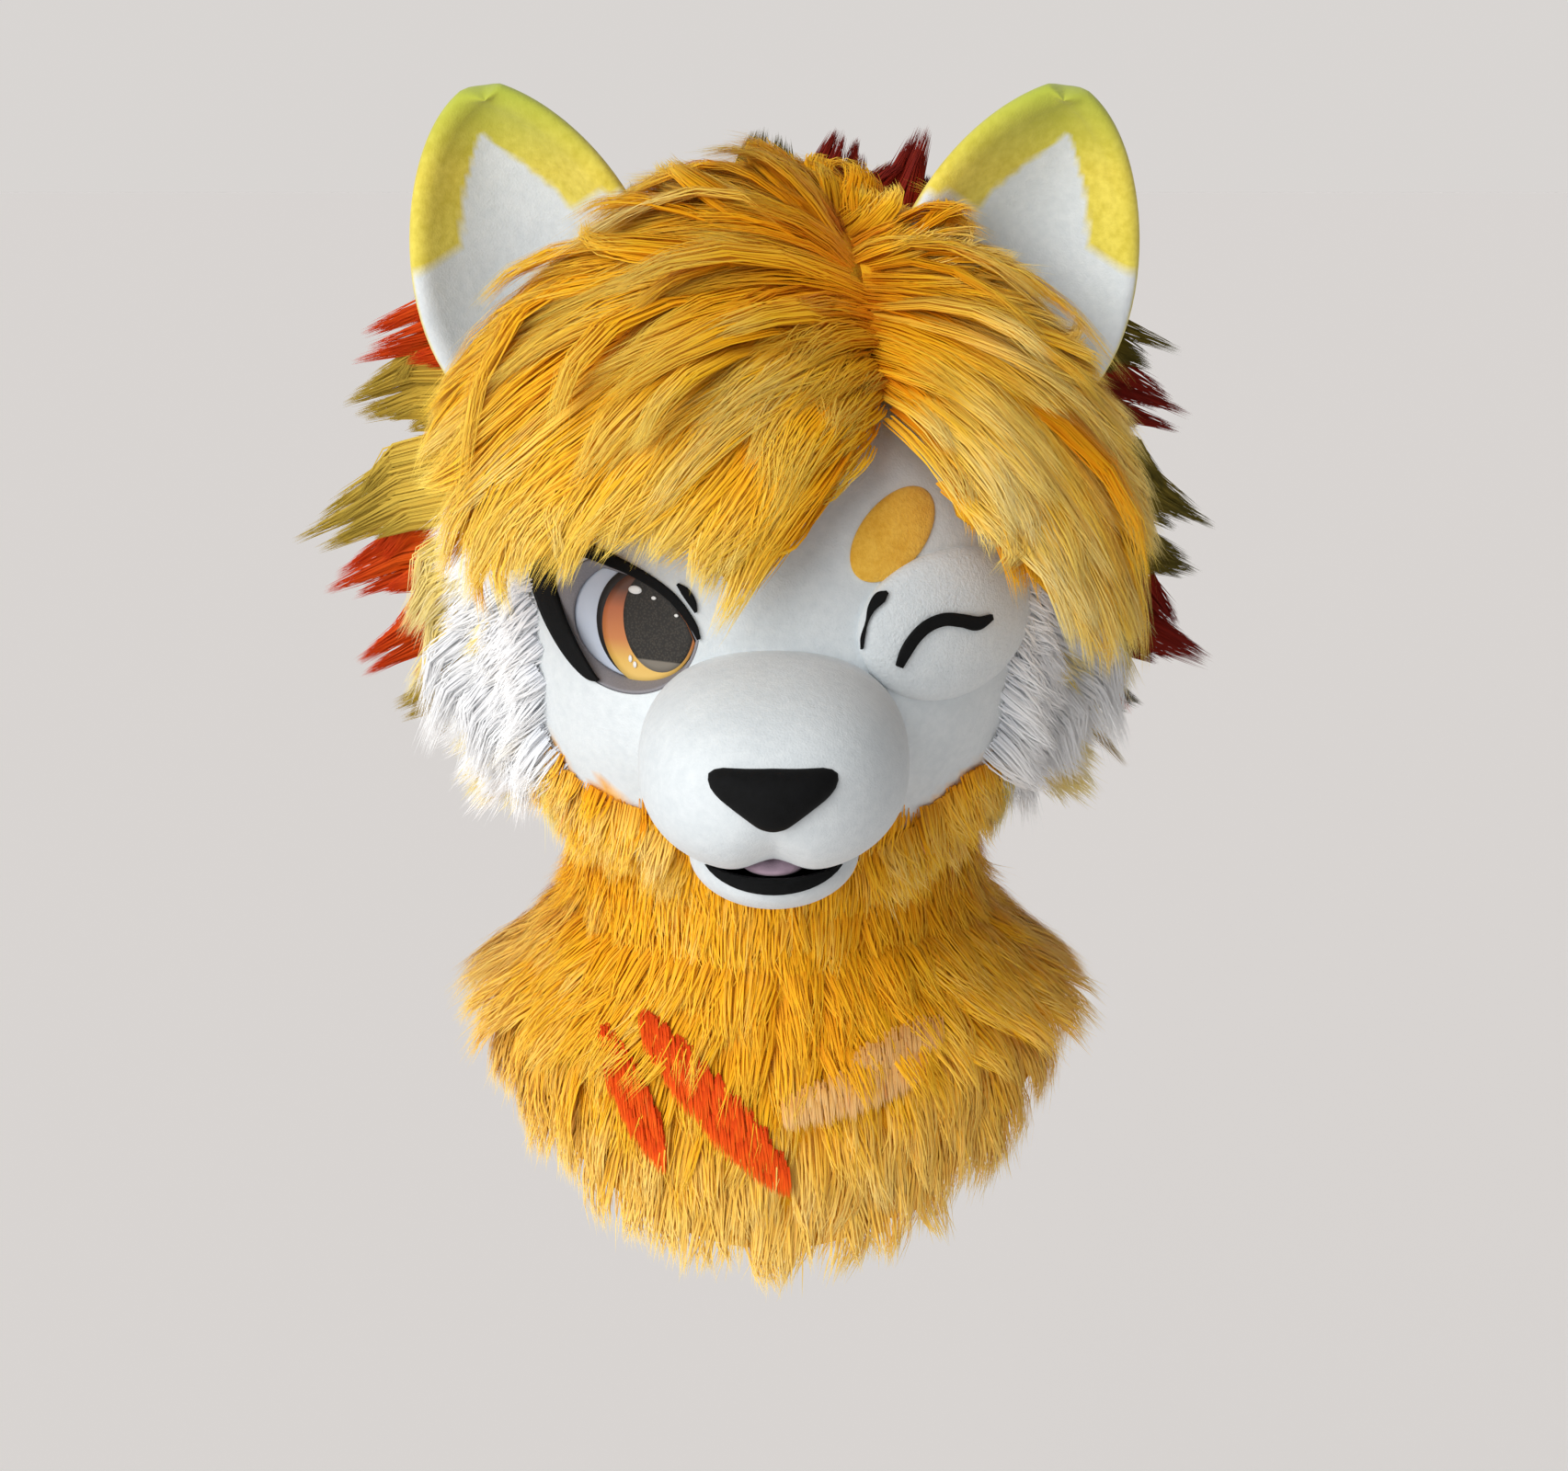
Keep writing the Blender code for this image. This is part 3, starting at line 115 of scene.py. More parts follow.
class Nodes:
    """A node tree with short ways to add and join nodes."""

    def __init__(self, tree: bpy.types.NodeTree) -> None:
        """Keeps the tree that the calls add to."""
        self.tree = tree

    def add(self, kind: str, inputs: dict | None = None, **settings: object) -> bpy.types.Node:
        """Adds a node.

        Args:
            kind: The node's type name.
            inputs: Values or sockets for its inputs, by name or number.
            settings: The node's own properties.

        Returns:
            The new node.
        """
        node = self.tree.nodes.new(kind)
        for name, value in settings.items():
            setattr(node, name, value)
        for name, value in (inputs or {}).items():
            self.feed(node.inputs[name], value)
        return node

    def feed(self, socket: bpy.types.NodeSocket, value: object) -> None:
        """Links a socket into another, or sets a plain value on it."""
        if isinstance(value, bpy.types.NodeSocket):
            self.tree.links.new(value, socket)
        else:
            socket.default_value = value

    def math(self, operation: str, *values: object) -> bpy.types.NodeSocket:
        """Adds a Math node and gives its result."""
        inputs = dict(enumerate(values))
        return self.add("ShaderNodeMath", inputs, operation=operation).outputs[0]

    def mix(self, share: object, first: object, second: object) -> bpy.types.NodeSocket:
        """Mixes two colours by a share and gives the result."""
        node = self.add("ShaderNodeMix", data_type="RGBA")
        for index, value in ((0, share), (6, first), (7, second)):
            self.feed(node.inputs[index], value)
        return node.outputs[2]

    def ramp(self, share: object, stops: Sequence[tuple[float, Colour]]) -> bpy.types.NodeSocket:
        """Adds a colour ramp.

        Args:
            share: The place on the ramp.
            stops: Places with their sRGB colours.

        Returns:
            The ramp's colour.
        """
        node = self.add("ShaderNodeValToRGB", {0: share})
        elements = node.color_ramp.elements
        while len(elements) < len(stops):
            elements.new(0.5)
        for element, (place, colour) in zip(elements, sorted(stops)):
            element.position = place
            element.color = linear(colour)
        return node.outputs[0]


def new_group(name: str, inputs: dict[str, tuple[str, object]], outputs: dict[str, str]) -> tuple:
    """Starts a shader node group with named sockets.

    Args:
        name: The group's name.
        inputs: Socket name to its type and default.
        outputs: Socket name to its type.

    Returns:
        The group, its nodes, its input node and its output node.
    """
    group = bpy.data.node_groups.new(name, "ShaderNodeTree")
    for label, (kind, default) in inputs.items():
        socket = group.interface.new_socket(label, in_out="INPUT", socket_type=kind)
        socket.default_value = default
    for label, kind in outputs.items():
        group.interface.new_socket(label, in_out="OUTPUT", socket_type=kind)
    nodes = Nodes(group)
    return group, nodes, nodes.add("NodeGroupInput"), nodes.add("NodeGroupOutput")


def pile_group() -> bpy.types.NodeTree:
    """Short pile: a fine nap with brushed patches, as a colour mask and a height.

    Returns:
        The node group.
    """
    group, nodes, given, out = new_group(
        "short_pile",
        {"Nap Scale": ("NodeSocketFloat", 900.0), "Patch Scale": ("NodeSocketFloat", 45.0)},
        {"Shade": "NodeSocketFloat", "Height": "NodeSocketFloat"},
    )
    place = nodes.add("ShaderNodeTexCoord").outputs["Object"]
    nap = nodes.add("ShaderNodeTexNoise", {"Vector": place, "Scale": given.outputs["Nap Scale"], "Detail": 3.0})
    patch = nodes.add(
        "ShaderNodeTexNoise",
        {"Vector": place, "Scale": given.outputs["Patch Scale"], "Detail": 4.0, "Roughness": 0.62},
    )
    tuft = nodes.add(
        "ShaderNodeTexNoise",
        {"Vector": place, "Scale": nodes.math("MULTIPLY", given.outputs["Patch Scale"], 5.0), "Detail": 3.0},
    )
    coarse = nodes.math("MULTIPLY", patch.outputs["Fac"], 0.5)
    both = nodes.math("ADD", coarse, nodes.math("MULTIPLY", tuft.outputs["Fac"], 0.5))
    height = nodes.math("ADD", nodes.math("MULTIPLY", both, 0.7), nodes.math("MULTIPLY", nap.outputs["Fac"], 0.3))
    nodes.feed(out.inputs["Shade"], both)
    nodes.feed(out.inputs["Height"], height)
    return group


def strand_group() -> bpy.types.NodeTree:
    """Mixes a strand's root, middle and tip colours along its length.

    Returns:
        The node group.
    """
    group, nodes, given, out = new_group(
        "strand_colour",
        {
            "Along": ("NodeSocketFloat", 0.0),
            "Root": ("NodeSocketColor", (0, 0, 0, 1)),
            "Middle": ("NodeSocketColor", (0, 0, 0, 1)),
            "Tip": ("NodeSocketColor", (0, 0, 0, 1)),
        },
        {"Colour": "NodeSocketColor"},
    )
    along = given.outputs["Along"]
    low = nodes.add("ShaderNodeMapRange", {"Value": along, "From Min": 0.05, "From Max": 0.5}).outputs[0]
    high = nodes.add("ShaderNodeMapRange", {"Value": along, "From Min": 0.5, "From Max": 0.95}).outputs[0]
    lower = nodes.mix(low, given.outputs["Root"], given.outputs["Middle"])
    nodes.feed(out.inputs["Colour"], nodes.mix(high, lower, given.outputs["Tip"]))
    return group


PILE = pile_group()
STRAND = strand_group()


def new_material(name: str) -> tuple[bpy.types.Material, Nodes, bpy.types.Node]:
    """Starts a material.

    Args:
        name: The material's name.

    Returns:
        The material, its nodes and its Principled BSDF.
    """
    material = bpy.data.materials.new(name)
    material.use_nodes = True
    nodes = Nodes(material.node_tree)
    return material, nodes, material.node_tree.nodes["Principled BSDF"]


@dataclass(frozen=True)
class PlushFinish:
    """Short-pile plush: a light and a shaded colour, brushed patches and a nap."""

    name: str
    light: Colour
    shaded: Colour
    nap_scale: float = 900.0
    patch_scale: float = 45.0
    depth: float = 0.0012
    roughness: float = 0.85
    sheen: float = 0.25
    mask: str = ""
    mask_light: Colour = (255, 255, 255)
    mask_shaded: Colour = (255, 255, 255)
    high: Colour | None = None
    high_from: float = 0.0
    high_to: float = 0.0

    def build(self) -> bpy.types.Material:
        """Makes the material; where a mask attribute is named, it blends in the mask's colours.

        Returns:
            The plush material.
        """
        material, nodes, shader = new_material(self.name)
        pile = nodes.add(
            "ShaderNodeGroup", {}, node_tree=PILE
        )
        pile.inputs["Nap Scale"].default_value = self.nap_scale
        pile.inputs["Patch Scale"].default_value = self.patch_scale
        spread = nodes.add(
            "ShaderNodeMapRange", {"Value": pile.outputs["Shade"], "From Min": 0.38, "From Max": 0.62}
        ).outputs[0]
        colour = nodes.mix(spread, linear(self.shaded), linear(self.light))
        if self.high:
            place = nodes.add("ShaderNodeTexCoord").outputs["Object"]
            level = nodes.add("ShaderNodeSeparateXYZ", {0: place}).outputs["Z"]
            rise = nodes.add(
                "ShaderNodeMapRange", {"Value": level, "From Min": self.high_from, "From Max": self.high_to}
            ).outputs[0]
            colour = nodes.mix(rise, colour, linear(self.high))
        if self.mask:
            over = nodes.mix(spread, linear(self.mask_shaded), linear(self.mask_light))
            share = nodes.add("ShaderNodeAttribute", attribute_name=self.mask).outputs["Fac"]
            colour = nodes.mix(share, colour, over)
        nodes.feed(shader.inputs["Base Color"], colour)
        bump = nodes.add(
            "ShaderNodeBump", {"Height": pile.outputs["Height"], "Strength": 0.6, "Distance": self.depth}
        )
        nodes.feed(shader.inputs["Normal"], bump.outputs["Normal"])
        shader.inputs["Roughness"].default_value = self.roughness
        shader.inputs["Sheen Weight"].default_value = self.sheen
        shader.inputs["Sheen Roughness"].default_value = 0.6
        shader.inputs["Specular IOR Level"].default_value = 0.2
        return material


@dataclass(frozen=True)
class FurFinish:
    """Long pile: for each tone the colour of a strand's root, middle and tip."""

    name: str
    tones: tuple[tuple[float, Colour, Colour, Colour], ...]
    roughness: float = 0.6
    sheen: float = 0.02
    specular: float = 0.14

    def build(self) -> bpy.types.Material:
        """Makes the material, which reads tone and length from the strands' own map.

        Returns:
            The fur material.
        """
        material, nodes, shader = new_material(self.name)
        where = nodes.add("ShaderNodeUVMap", uv_map="OFBake").outputs[0]
        split = nodes.add("ShaderNodeSeparateXYZ", {0: where})
        mixed = nodes.add("ShaderNodeGroup", node_tree=STRAND)
        nodes.feed(mixed.inputs["Along"], split.outputs["Y"])
        for label, column in (("Root", 1), ("Middle", 2), ("Tip", 3)):
            stops = [(row[0], row[column]) for row in self.tones]
            nodes.feed(mixed.inputs[label], nodes.ramp(split.outputs["X"], stops))
        nodes.feed(shader.inputs["Base Color"], mixed.outputs["Colour"])
        shader.inputs["Roughness"].default_value = self.roughness
        shader.inputs["Sheen Weight"].default_value = self.sheen
        shader.inputs["Sheen Roughness"].default_value = 0.4
        shader.inputs["Specular IOR Level"].default_value = self.specular
        return material


def add_piece(
    name: str, mesh: bpy.types.Mesh, material: bpy.types.Material, replaces: Sequence[str] = ()
) -> bpy.types.Object:
    """Puts a mesh in the scene as a piece that rides on the head.

    Args:
        name: The piece's name.
        mesh: Its mesh, already in place.
        material: Its finish.
        replaces: The CAD nodes that it stands for.

    Returns:
        The new object.
    """
    piece = bpy.data.objects.new(name, mesh)
    bpy.context.scene.collection.objects.link(piece)
    mesh.materials.clear()
    mesh.materials.append(material)
    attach(piece, BODY)
    if replaces:
        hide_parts(*replaces)
    LOG.info("%s: %d faces", name, len(mesh.polygons))
    return piece


def mesh_from(name: str, bm: bmesh.types.BMesh, smooth: bool = True) -> bpy.types.Mesh:
    """Writes a bmesh out and frees it.

    Args:
        name: The mesh's name.
        bm: The bmesh.
        smooth: Whether its faces are shaded smooth.

    Returns:
        The mesh.
    """
    bmesh.ops.recalc_face_normals(bm, faces=bm.faces)
    mesh = bpy.data.meshes.new(name)
    bm.to_mesh(mesh)
    bm.free()
    mesh.polygons.foreach_set("use_smooth", [smooth] * len(mesh.polygons))
    return mesh


def verts_of(bm: bmesh.types.BMesh) -> np.ndarray:
    """The places of a bmesh's vertices as an array."""
    return np.array([vertex.co for vertex in bm.verts])


def set_verts(bm: bmesh.types.BMesh, places: np.ndarray) -> None:
    """Moves a bmesh's vertices to the places given, in order."""
    for vertex, place in zip(bm.verts, places):
        vertex.co = Vector(place.tolist())


def unit(vectors: np.ndarray) -> np.ndarray:
    """The vectors at length one."""
    return vectors / np.maximum(np.linalg.norm(vectors, axis=-1, keepdims=True), 1e-9)


def smoothstep(value: np.ndarray, low: float, high: float) -> np.ndarray:
    """An eased share of the way from low to high."""
    share = np.clip((value - low) / (high - low), 0, 1)
    return share * share * (3 - 2 * share)


def sheet_mesh(columns: int, rows: int, place: Place) -> bmesh.types.BMesh:
    """A grid primitive laid on a surface.

    Args:
        columns: Faces across.
        rows: Faces along.
        place: Gives the points for shares across and along, each from 0 to 1.

    Returns:
        The bmesh, with a map of the shares.
    """
    bm = bmesh.new()
    bmesh.ops.create_grid(bm, x_segments=columns, y_segments=rows, size=0.5)
    shares = verts_of(bm)[:, :2] + 0.5
    across = bm.verts.layers.float.new("across")
    along = bm.verts.layers.float.new("along")
    for vertex, (u, v) in zip(bm.verts, shares):
        vertex[across] = u
        vertex[along] = v
    set_verts(bm, place(shares[:, 0], shares[:, 1]))
    return bm


def tube_mesh(segments: int, rings: int, place: Place) -> bmesh.types.BMesh:
    """A cone primitive with rings cut in, laid on a surface of revolution's kind.

    Args:
        segments: Faces round.
        rings: Faces along.
        place: Gives the points for angles round and shares along.

    Returns:
        The bmesh, open at both ends.
    """
    bm = bmesh.new()
    bmesh.ops.create_cone(bm, cap_ends=False, segments=segments, radius1=1.0, radius2=1.0, depth=2.0)
    upright = [edge for edge in bm.edges if abs(edge.verts[0].co.z - edge.verts[1].co.z) > 1]
    bmesh.ops.subdivide_edges(bm, edges=upright, cuts=rings - 1, use_grid_fill=True)
    points = verts_of(bm)
    set_verts(bm, place(np.arctan2(points[:, 0], -points[:, 1]), (1 - points[:, 2]) / 2))
    return bm


def solidify(piece: bpy.types.Object, thickness: float, offset: float = -1.0, even: bool = True) -> None:
    """Gives an open sheet its wall, as a live modifier."""
    wall = piece.modifiers.new("wall", "SOLIDIFY")
    wall.thickness = thickness
    wall.offset = offset
    wall.use_even_offset = even


def subdivide(piece: bpy.types.Object, levels: int = 1) -> None:
    """Adds a subdivision surface of the same level in view and render."""
    surface = piece.modifiers.new("soften", "SUBSURF")
    surface.levels = surface.render_levels = levels


class Bump:
    """A soft rise or dip in the head's form: which way it lies, its spread and its height."""

    def __init__(self, towards: tuple[float, float, float], spread: float, height: float) -> None:
        """Keeps the bump's direction as a unit vector."""
        self.towards = unit(np.array(towards))
        self.spread = spread
        self.height = height


@dataclass(frozen=True)
class HeadForm:
    """The padded head's outer form: four radii, a fullness and a few bumps."""

    centre: tuple[float, float, float] = (0.0, 0.010, -0.120)
    half_width: float = 0.142
    face_reach: float = 0.145
    nape_reach: float = 0.150
    crown_rise: float = 0.134
    jaw_drop: float = 0.186
    fullness: float = 2.2
    rim_level: float = -0.250
    wall: float = 0.014
    bumps: tuple[Bump, ...] = (
        Bump((0.095, -0.100, -0.180), 0.34, 0.006),
        Bump((-0.095, -0.100, -0.180), 0.34, 0.006),
        Bump((0.050, -0.125, -0.070), 0.26, 0.004),
        Bump((-0.050, -0.125, -0.070), 0.26, 0.004),
        Bump((0.074, -0.120, -0.130), 0.22, -0.004),
        Bump((-0.074, -0.120, -0.130), 0.22, -0.004),
        Bump((0.0, -0.135, -0.150), 0.20, 0.010),
    )

    def distance(self, directions: np.ndarray) -> np.ndarray:
        """How far the form reaches from its centre in each direction.

        Args:
            directions: Vectors of any length, as rows.

        Returns:
            One distance for each row.
        """
        way = unit(directions)
        sizes = np.stack(
            [
                np.full(len(way), self.half_width),
                np.where(way[:, 1] < 0, self.face_reach, self.nape_reach),
                np.where(way[:, 2] > 0, self.crown_rise, self.jaw_drop),
            ],
            axis=1,
        )
        reach = ((np.abs(way) / sizes) ** self.fullness).sum(axis=1) ** (-1 / self.fullness)
        for bump in self.bumps:
            apart = np.linalg.norm(way - bump.towards, axis=1)
            reach = reach + bump.height * np.exp(-((apart / bump.spread) ** 2))
        return reach

    def surface(self, directions: np.ndarray, lift: np.ndarray | float = 0.0) -> np.ndarray:
        """Points over the form in each direction, lifted along it."""
        way = unit(directions)
        return np.array(self.centre) + way * (self.distance(way) + lift)[:, None]

    def front(self, x: np.ndarray, z: np.ndarray, lift: np.ndarray | float = 0.0) -> np.ndarray:
        """Points of the face seen from the front, found by halving.

        Args:
            x: Places across.
            z: Levels.
            lift: How far over the face.

        Returns:
            Points on the lifted face.
        """
        centre = np.array(self.centre)
        near = np.full(len(x), centre[1] - 2 * self.face_reach)
        far = np.full(len(x), centre[1])
        for _ in range(32):
            middle = (near + far) / 2
            offset = np.stack([x, middle, z], axis=1) - centre
            outside = np.linalg.norm(offset, axis=1) > self.distance(offset) + lift
            near = np.where(outside, middle, near)
            far = np.where(outside, far, middle)
        return np.stack([x, (near + far) / 2, z], axis=1)


HEAD = HeadForm()


@dataclass
class Tufts:
    """Bundles of strands: each row is a tuft's root, bend and tip, with its own width and tone."""

    root: np.ndarray
    bend: np.ndarray
    tip: np.ndarray
    half_width: np.ndarray
    tone: np.ndarray
    outward: np.ndarray

    @staticmethod
    def joined(parts: Sequence["Tufts"]) -> "Tufts":
        """Puts several sets of tufts in one."""
        names = ("root", "bend", "tip", "half_width", "tone", "outward")
        return Tufts(*(np.concatenate([getattr(part, name) for part in parts]) for name in names))


def split_tuft(
    path: Sequence[Sequence[float]],
    half_width: float,
    tone: float,
    facing: Sequence[float],
    small: int,
    rng: np.random.Generator,
    fan: float = 0.55,
    notch: float = 0.24,
) -> Tufts:
    """Splits a big pointed tuft into smaller ones that part towards its tip.

    Args:
        path: Its root, knee and tip.
        half_width: Half its width at the knee.
        tone: Its tone.
        facing: Where its broad side faces.
        small: How many smaller tufts it is split into.
        rng: The seeded source of chance.
        fan: How far the small tips part, as a share of the half width.
        notch: How far the outer ones stay behind the tip, as a share of the length.

    Returns:
        The small tufts.
    """
    root, knee, tip = (np.array(point, float) for point in path)
    flow = unit(tip - root)
    outward = np.array(facing, float)
    outward = unit(outward - flow * (outward @ flow))
    side = np.cross(flow, outward)
    across = np.linspace(-1, 1, small) * np.where(np.arange(small) % 2, 1.0, 0.8)
    length = float(np.linalg.norm(tip - root))
    jitter = rng.normal(0, 0.22, (small, 3)) * half_width
    roots = root + side * (across * half_width * 0.9)[:, None] + jitter * 0.5
    behind = np.abs(across) ** 1.4 * length * notch + rng.uniform(0, 0.06, small) * length
    ends = tip + side * (across * half_width * fan)[:, None] - flow * behind[:, None] + jitter * 0.5
    knees = knee + side * (across * half_width)[:, None] + jitter * 0.5
    return Tufts(
        roots, 2 * knees - (roots + ends) / 2, ends, np.full(small, half_width * 0.42),
        np.clip(tone + rng.normal(0, 0.012, small), 0.01, 0.99), np.tile(outward, (small, 1)),
    )


@dataclass(frozen=True)
class StrandKind:
    """How a coat's strands are cut and bundled."""

    per_tuft: int = 60
    half_width: float = 0.00055
    flatness: float = 0.42
    pinch: float = 0.25
    ragged: float = 0.30
    stray: float = 0.004
    points: int = 5
    tone_spread: float = 0.10
    edge_shade: float = 0.0
    roundness: float = 0.45
    root_length: float = 0.0


TAPER = {3: (1.0, 0.75, 0.0), 4: (0.9, 1.0, 0.65, 0.0), 5: (0.8, 1.0, 0.85, 0.55, 0.0)}


def comb(tufts: Tufts, kind: StrandKind, rng: np.random.Generator) -> dict[str, np.ndarray]:
    """Grows the strands of some tufts.

    Args:
        tufts: The tufts.
        kind: How their strands are cut.
        rng: The seeded source of chance.

    Returns:
        Paths, outward directions, widths and tones of every strand.
    """
    count = len(tufts.root)
    many = count * kind.per_tuft
    owner = np.repeat(np.arange(count), kind.per_tuft)
    flow = unit(tufts.tip - tufts.root)
    outward = unit(tufts.outward - flow * (tufts.outward * flow).sum(axis=1, keepdims=True))
    side = np.cross(flow, outward)
    turn = rng.uniform(0, 2 * math.pi, many)
    out = np.sqrt(rng.uniform(0, 1, many))
    across, deep = out * np.cos(turn), out * np.sin(turn)
    end = 1 - kind.ragged * rng.uniform(0, 1, many) * (0.35 + 0.65 * np.abs(across))
    start = kind.root_length * rng.uniform(0, 1, many)
    shift = rng.normal(0, kind.stray, (many, 3))
    steps = np.linspace(0, 1, kind.points)
    share = start[:, None] + (end - start)[:, None] * steps
    spread = 1 + 0.25 * share - (1.25 - kind.pinch) * share**2
    base = (
        tufts.root[owner][:, None] * ((1 - share) ** 2)[..., None]
        + tufts.bend[owner][:, None] * (2 * share * (1 - share))[..., None]
        + tufts.tip[owner][:, None] * (share**2)[..., None]
    )
    wide = tufts.half_width[owner][:, None] * spread
    paths = (
        base
        + side[owner][:, None] * (across[:, None] * wide)[..., None]
        + outward[owner][:, None] * (deep[:, None] * wide * kind.flatness)[..., None]
        + shift[:, None] * (share**2)[..., None]
    )
    tone = tufts.tone[owner] + rng.normal(0, kind.tone_spread, many) - kind.edge_shade * across**2
    return {
        "paths": paths,
        "outward": unit(outward[owner] + side[owner] * (across * kind.roundness)[:, None]),
        "width": kind.half_width * rng.uniform(0.7, 1.25, many),
        "tone": np.clip(tone, 0.01, 0.99),
    }


def strand_mesh(name: str, strands: dict[str, np.ndarray]) -> bpy.types.Mesh:
    """Builds one joined mesh of tapered strands from arrays.

    Args:
        name: The mesh's name.
        strands: What comb gives.

    Returns:
        The mesh, with its map of tone and length and rounded normals.
    """
    paths, outward = strands["paths"], strands["outward"]
    many, points, _ = paths.shape
    along = unit(np.gradient(paths, axis=1))
    side = unit(np.cross(along, outward[:, None]))
    reach = np.array(TAPER[points])[None, :, None] * strands["width"][:, None, None] * side
    left, right = paths - reach, paths + reach
    pairs = np.stack([left[:, :-1], right[:, :-1]], axis=2).reshape(many, 2 * (points - 1), 3)
    verts = np.concatenate([pairs, paths[:, -1:]], axis=1)
    per = 2 * points - 1
    quads = np.array([(2 * k, 2 * k + 1, 2 * k + 3, 2 * k + 2) for k in range(points - 2)])
    last = np.array([(per - 3, per - 2, per - 1)])
    first = (np.arange(many) * per)[:, None]
    corners = np.concatenate([quads.reshape(-1), last.reshape(-1)])
    loops = (first + corners[None]).reshape(-1)
    sizes = np.tile(np.array([4] * (points - 2) + [3]), many)
    mesh = bpy.data.meshes.new(name)
    mesh.vertices.add(many * per)
    mesh.vertices.foreach_set("co", verts.reshape(-1).astype(np.float32))
    mesh.loops.add(len(loops))
    mesh.loops.foreach_set("vertex_index", loops.astype(np.int32))
    mesh.polygons.add(len(sizes))
    mesh.polygons.foreach_set("loop_start", (np.cumsum(sizes) - sizes).astype(np.int32))
    mesh.update(calc_edges=True)
    mesh.polygons.foreach_set("use_smooth", np.ones(len(sizes), bool))
    steps = np.linspace(0.0, 1.0, points)
    length = np.concatenate([np.repeat(steps[:-1], 2), [1.0]])
    sway = np.concatenate([np.tile([-0.004, 0.004], points - 1), [0.0]])
    tone = strands["tone"][:, None] + sway[None]
    uv = np.stack([tone, np.broadcast_to(length, tone.shape)], axis=2).reshape(-1, 2)
    layer = mesh.uv_layers.new(name="OFBake")
    layer.data.foreach_set("uv", uv[loops].reshape(-1).astype(np.float32))
    rounded = np.stack([outward[:, None] - 0.16 * side[:, :-1], outward[:, None] + 0.16 * side[:, :-1]], axis=2)
    normals = np.concatenate([rounded.reshape(many, 2 * (points - 1), 3), outward[:, None]], axis=1)
    mesh.normals_split_custom_set_from_vertices(unit(normals).reshape(-1, 3).tolist())
    return mesh


def add_fur(
    name: str,
    tufts: Tufts,
    kind: StrandKind,
    material: bpy.types.Material,
    replaces: Sequence[str],
    parts: int = 1,
) -> None:
    """Adds a coat of fur as one or more joined meshes.

    Args:
        name: The coat's name.
        tufts: Its tufts.
        kind: How its strands are cut.
        material: Its finish.
        replaces: The CAD nodes that it stands for.
        parts: How many meshes it is split into.
    """
    rng = np.random.default_rng(SEED + len(name) * 7 + len(tufts.root))
    strands = comb(tufts, kind, rng)
    many = len(strands["width"])
    for part in range(parts):
        chosen = slice(part * many // parts, (part + 1) * many // parts)
        portion = {key: value[chosen] for key, value in strands.items()}
        label = f"{name}_{part + 1}" if parts > 1 else name
        add_piece(label, strand_mesh(label, portion), material, replaces)


def reach_within(
    origin: Sequence[float], angle: np.ndarray, corners: Sequence[Sequence[float]], inset: float = 0.0
) -> np.ndarray:
    """How far a ray may go before it leaves a convex outline.

    Args:
        origin: Where the rays start, across and up.
        angle: The rays' directions, counter-clockwise.
        corners: The outline's corners, counter-clockwise; an open row bounds one side only.
        inset: How far inside the outline it stops.

    Returns:
        One reach for each ray.
    """
    way = np.stack([np.cos(angle), np.sin(angle)], axis=1)
    reach = np.full(len(angle), 9.0)
    for (ax, az), (bx, bz) in zip(corners, corners[1:]):
        square = unit(np.array([bz - az, ax - bx]))
        apart = (ax - origin[0]) * square[0] + (az - origin[1]) * square[1] - inset
        facing = way @ square
        reach = np.where(facing > 1e-4, np.minimum(reach, apart / np.maximum(facing, 1e-4)), reach)
    return reach


def reach_oval(
    origin: Sequence[float], angle: np.ndarray, centre: Sequence[float], half: Sequence[float]
) -> np.ndarray:
    """How far a ray may go from a point inside an oval before it leaves it."""
    dx, dz = np.cos(angle) / half[0], np.sin(angle) / half[1]
    ox, oz = (origin[0] - centre[0]) / half[0], (origin[1] - centre[1]) / half[1]
    a, b, c = dx * dx + dz * dz, ox * dx + oz * dz, ox * ox + oz * oz - 1
    return (-b + np.sqrt(np.maximum(b * b - a * c, 0))) / a


YELLOW_EDGE = (
    (-0.140, -0.225), (-0.122, -0.206), (-0.1166, -0.200), (-0.107, -0.216), (-0.099, -0.230), (-0.0885, -0.216),
    (-0.072, -0.231), (-0.050, -0.240), (0.050, -0.250), (0.070, -0.238), (0.101, -0.214), (0.140, -0.206),
)


def yellow_edge(x: np.ndarray) -> np.ndarray:
    """The level under which the face is yellow, at each place across."""
    return np.interp(x, *np.array(YELLOW_EDGE).T)


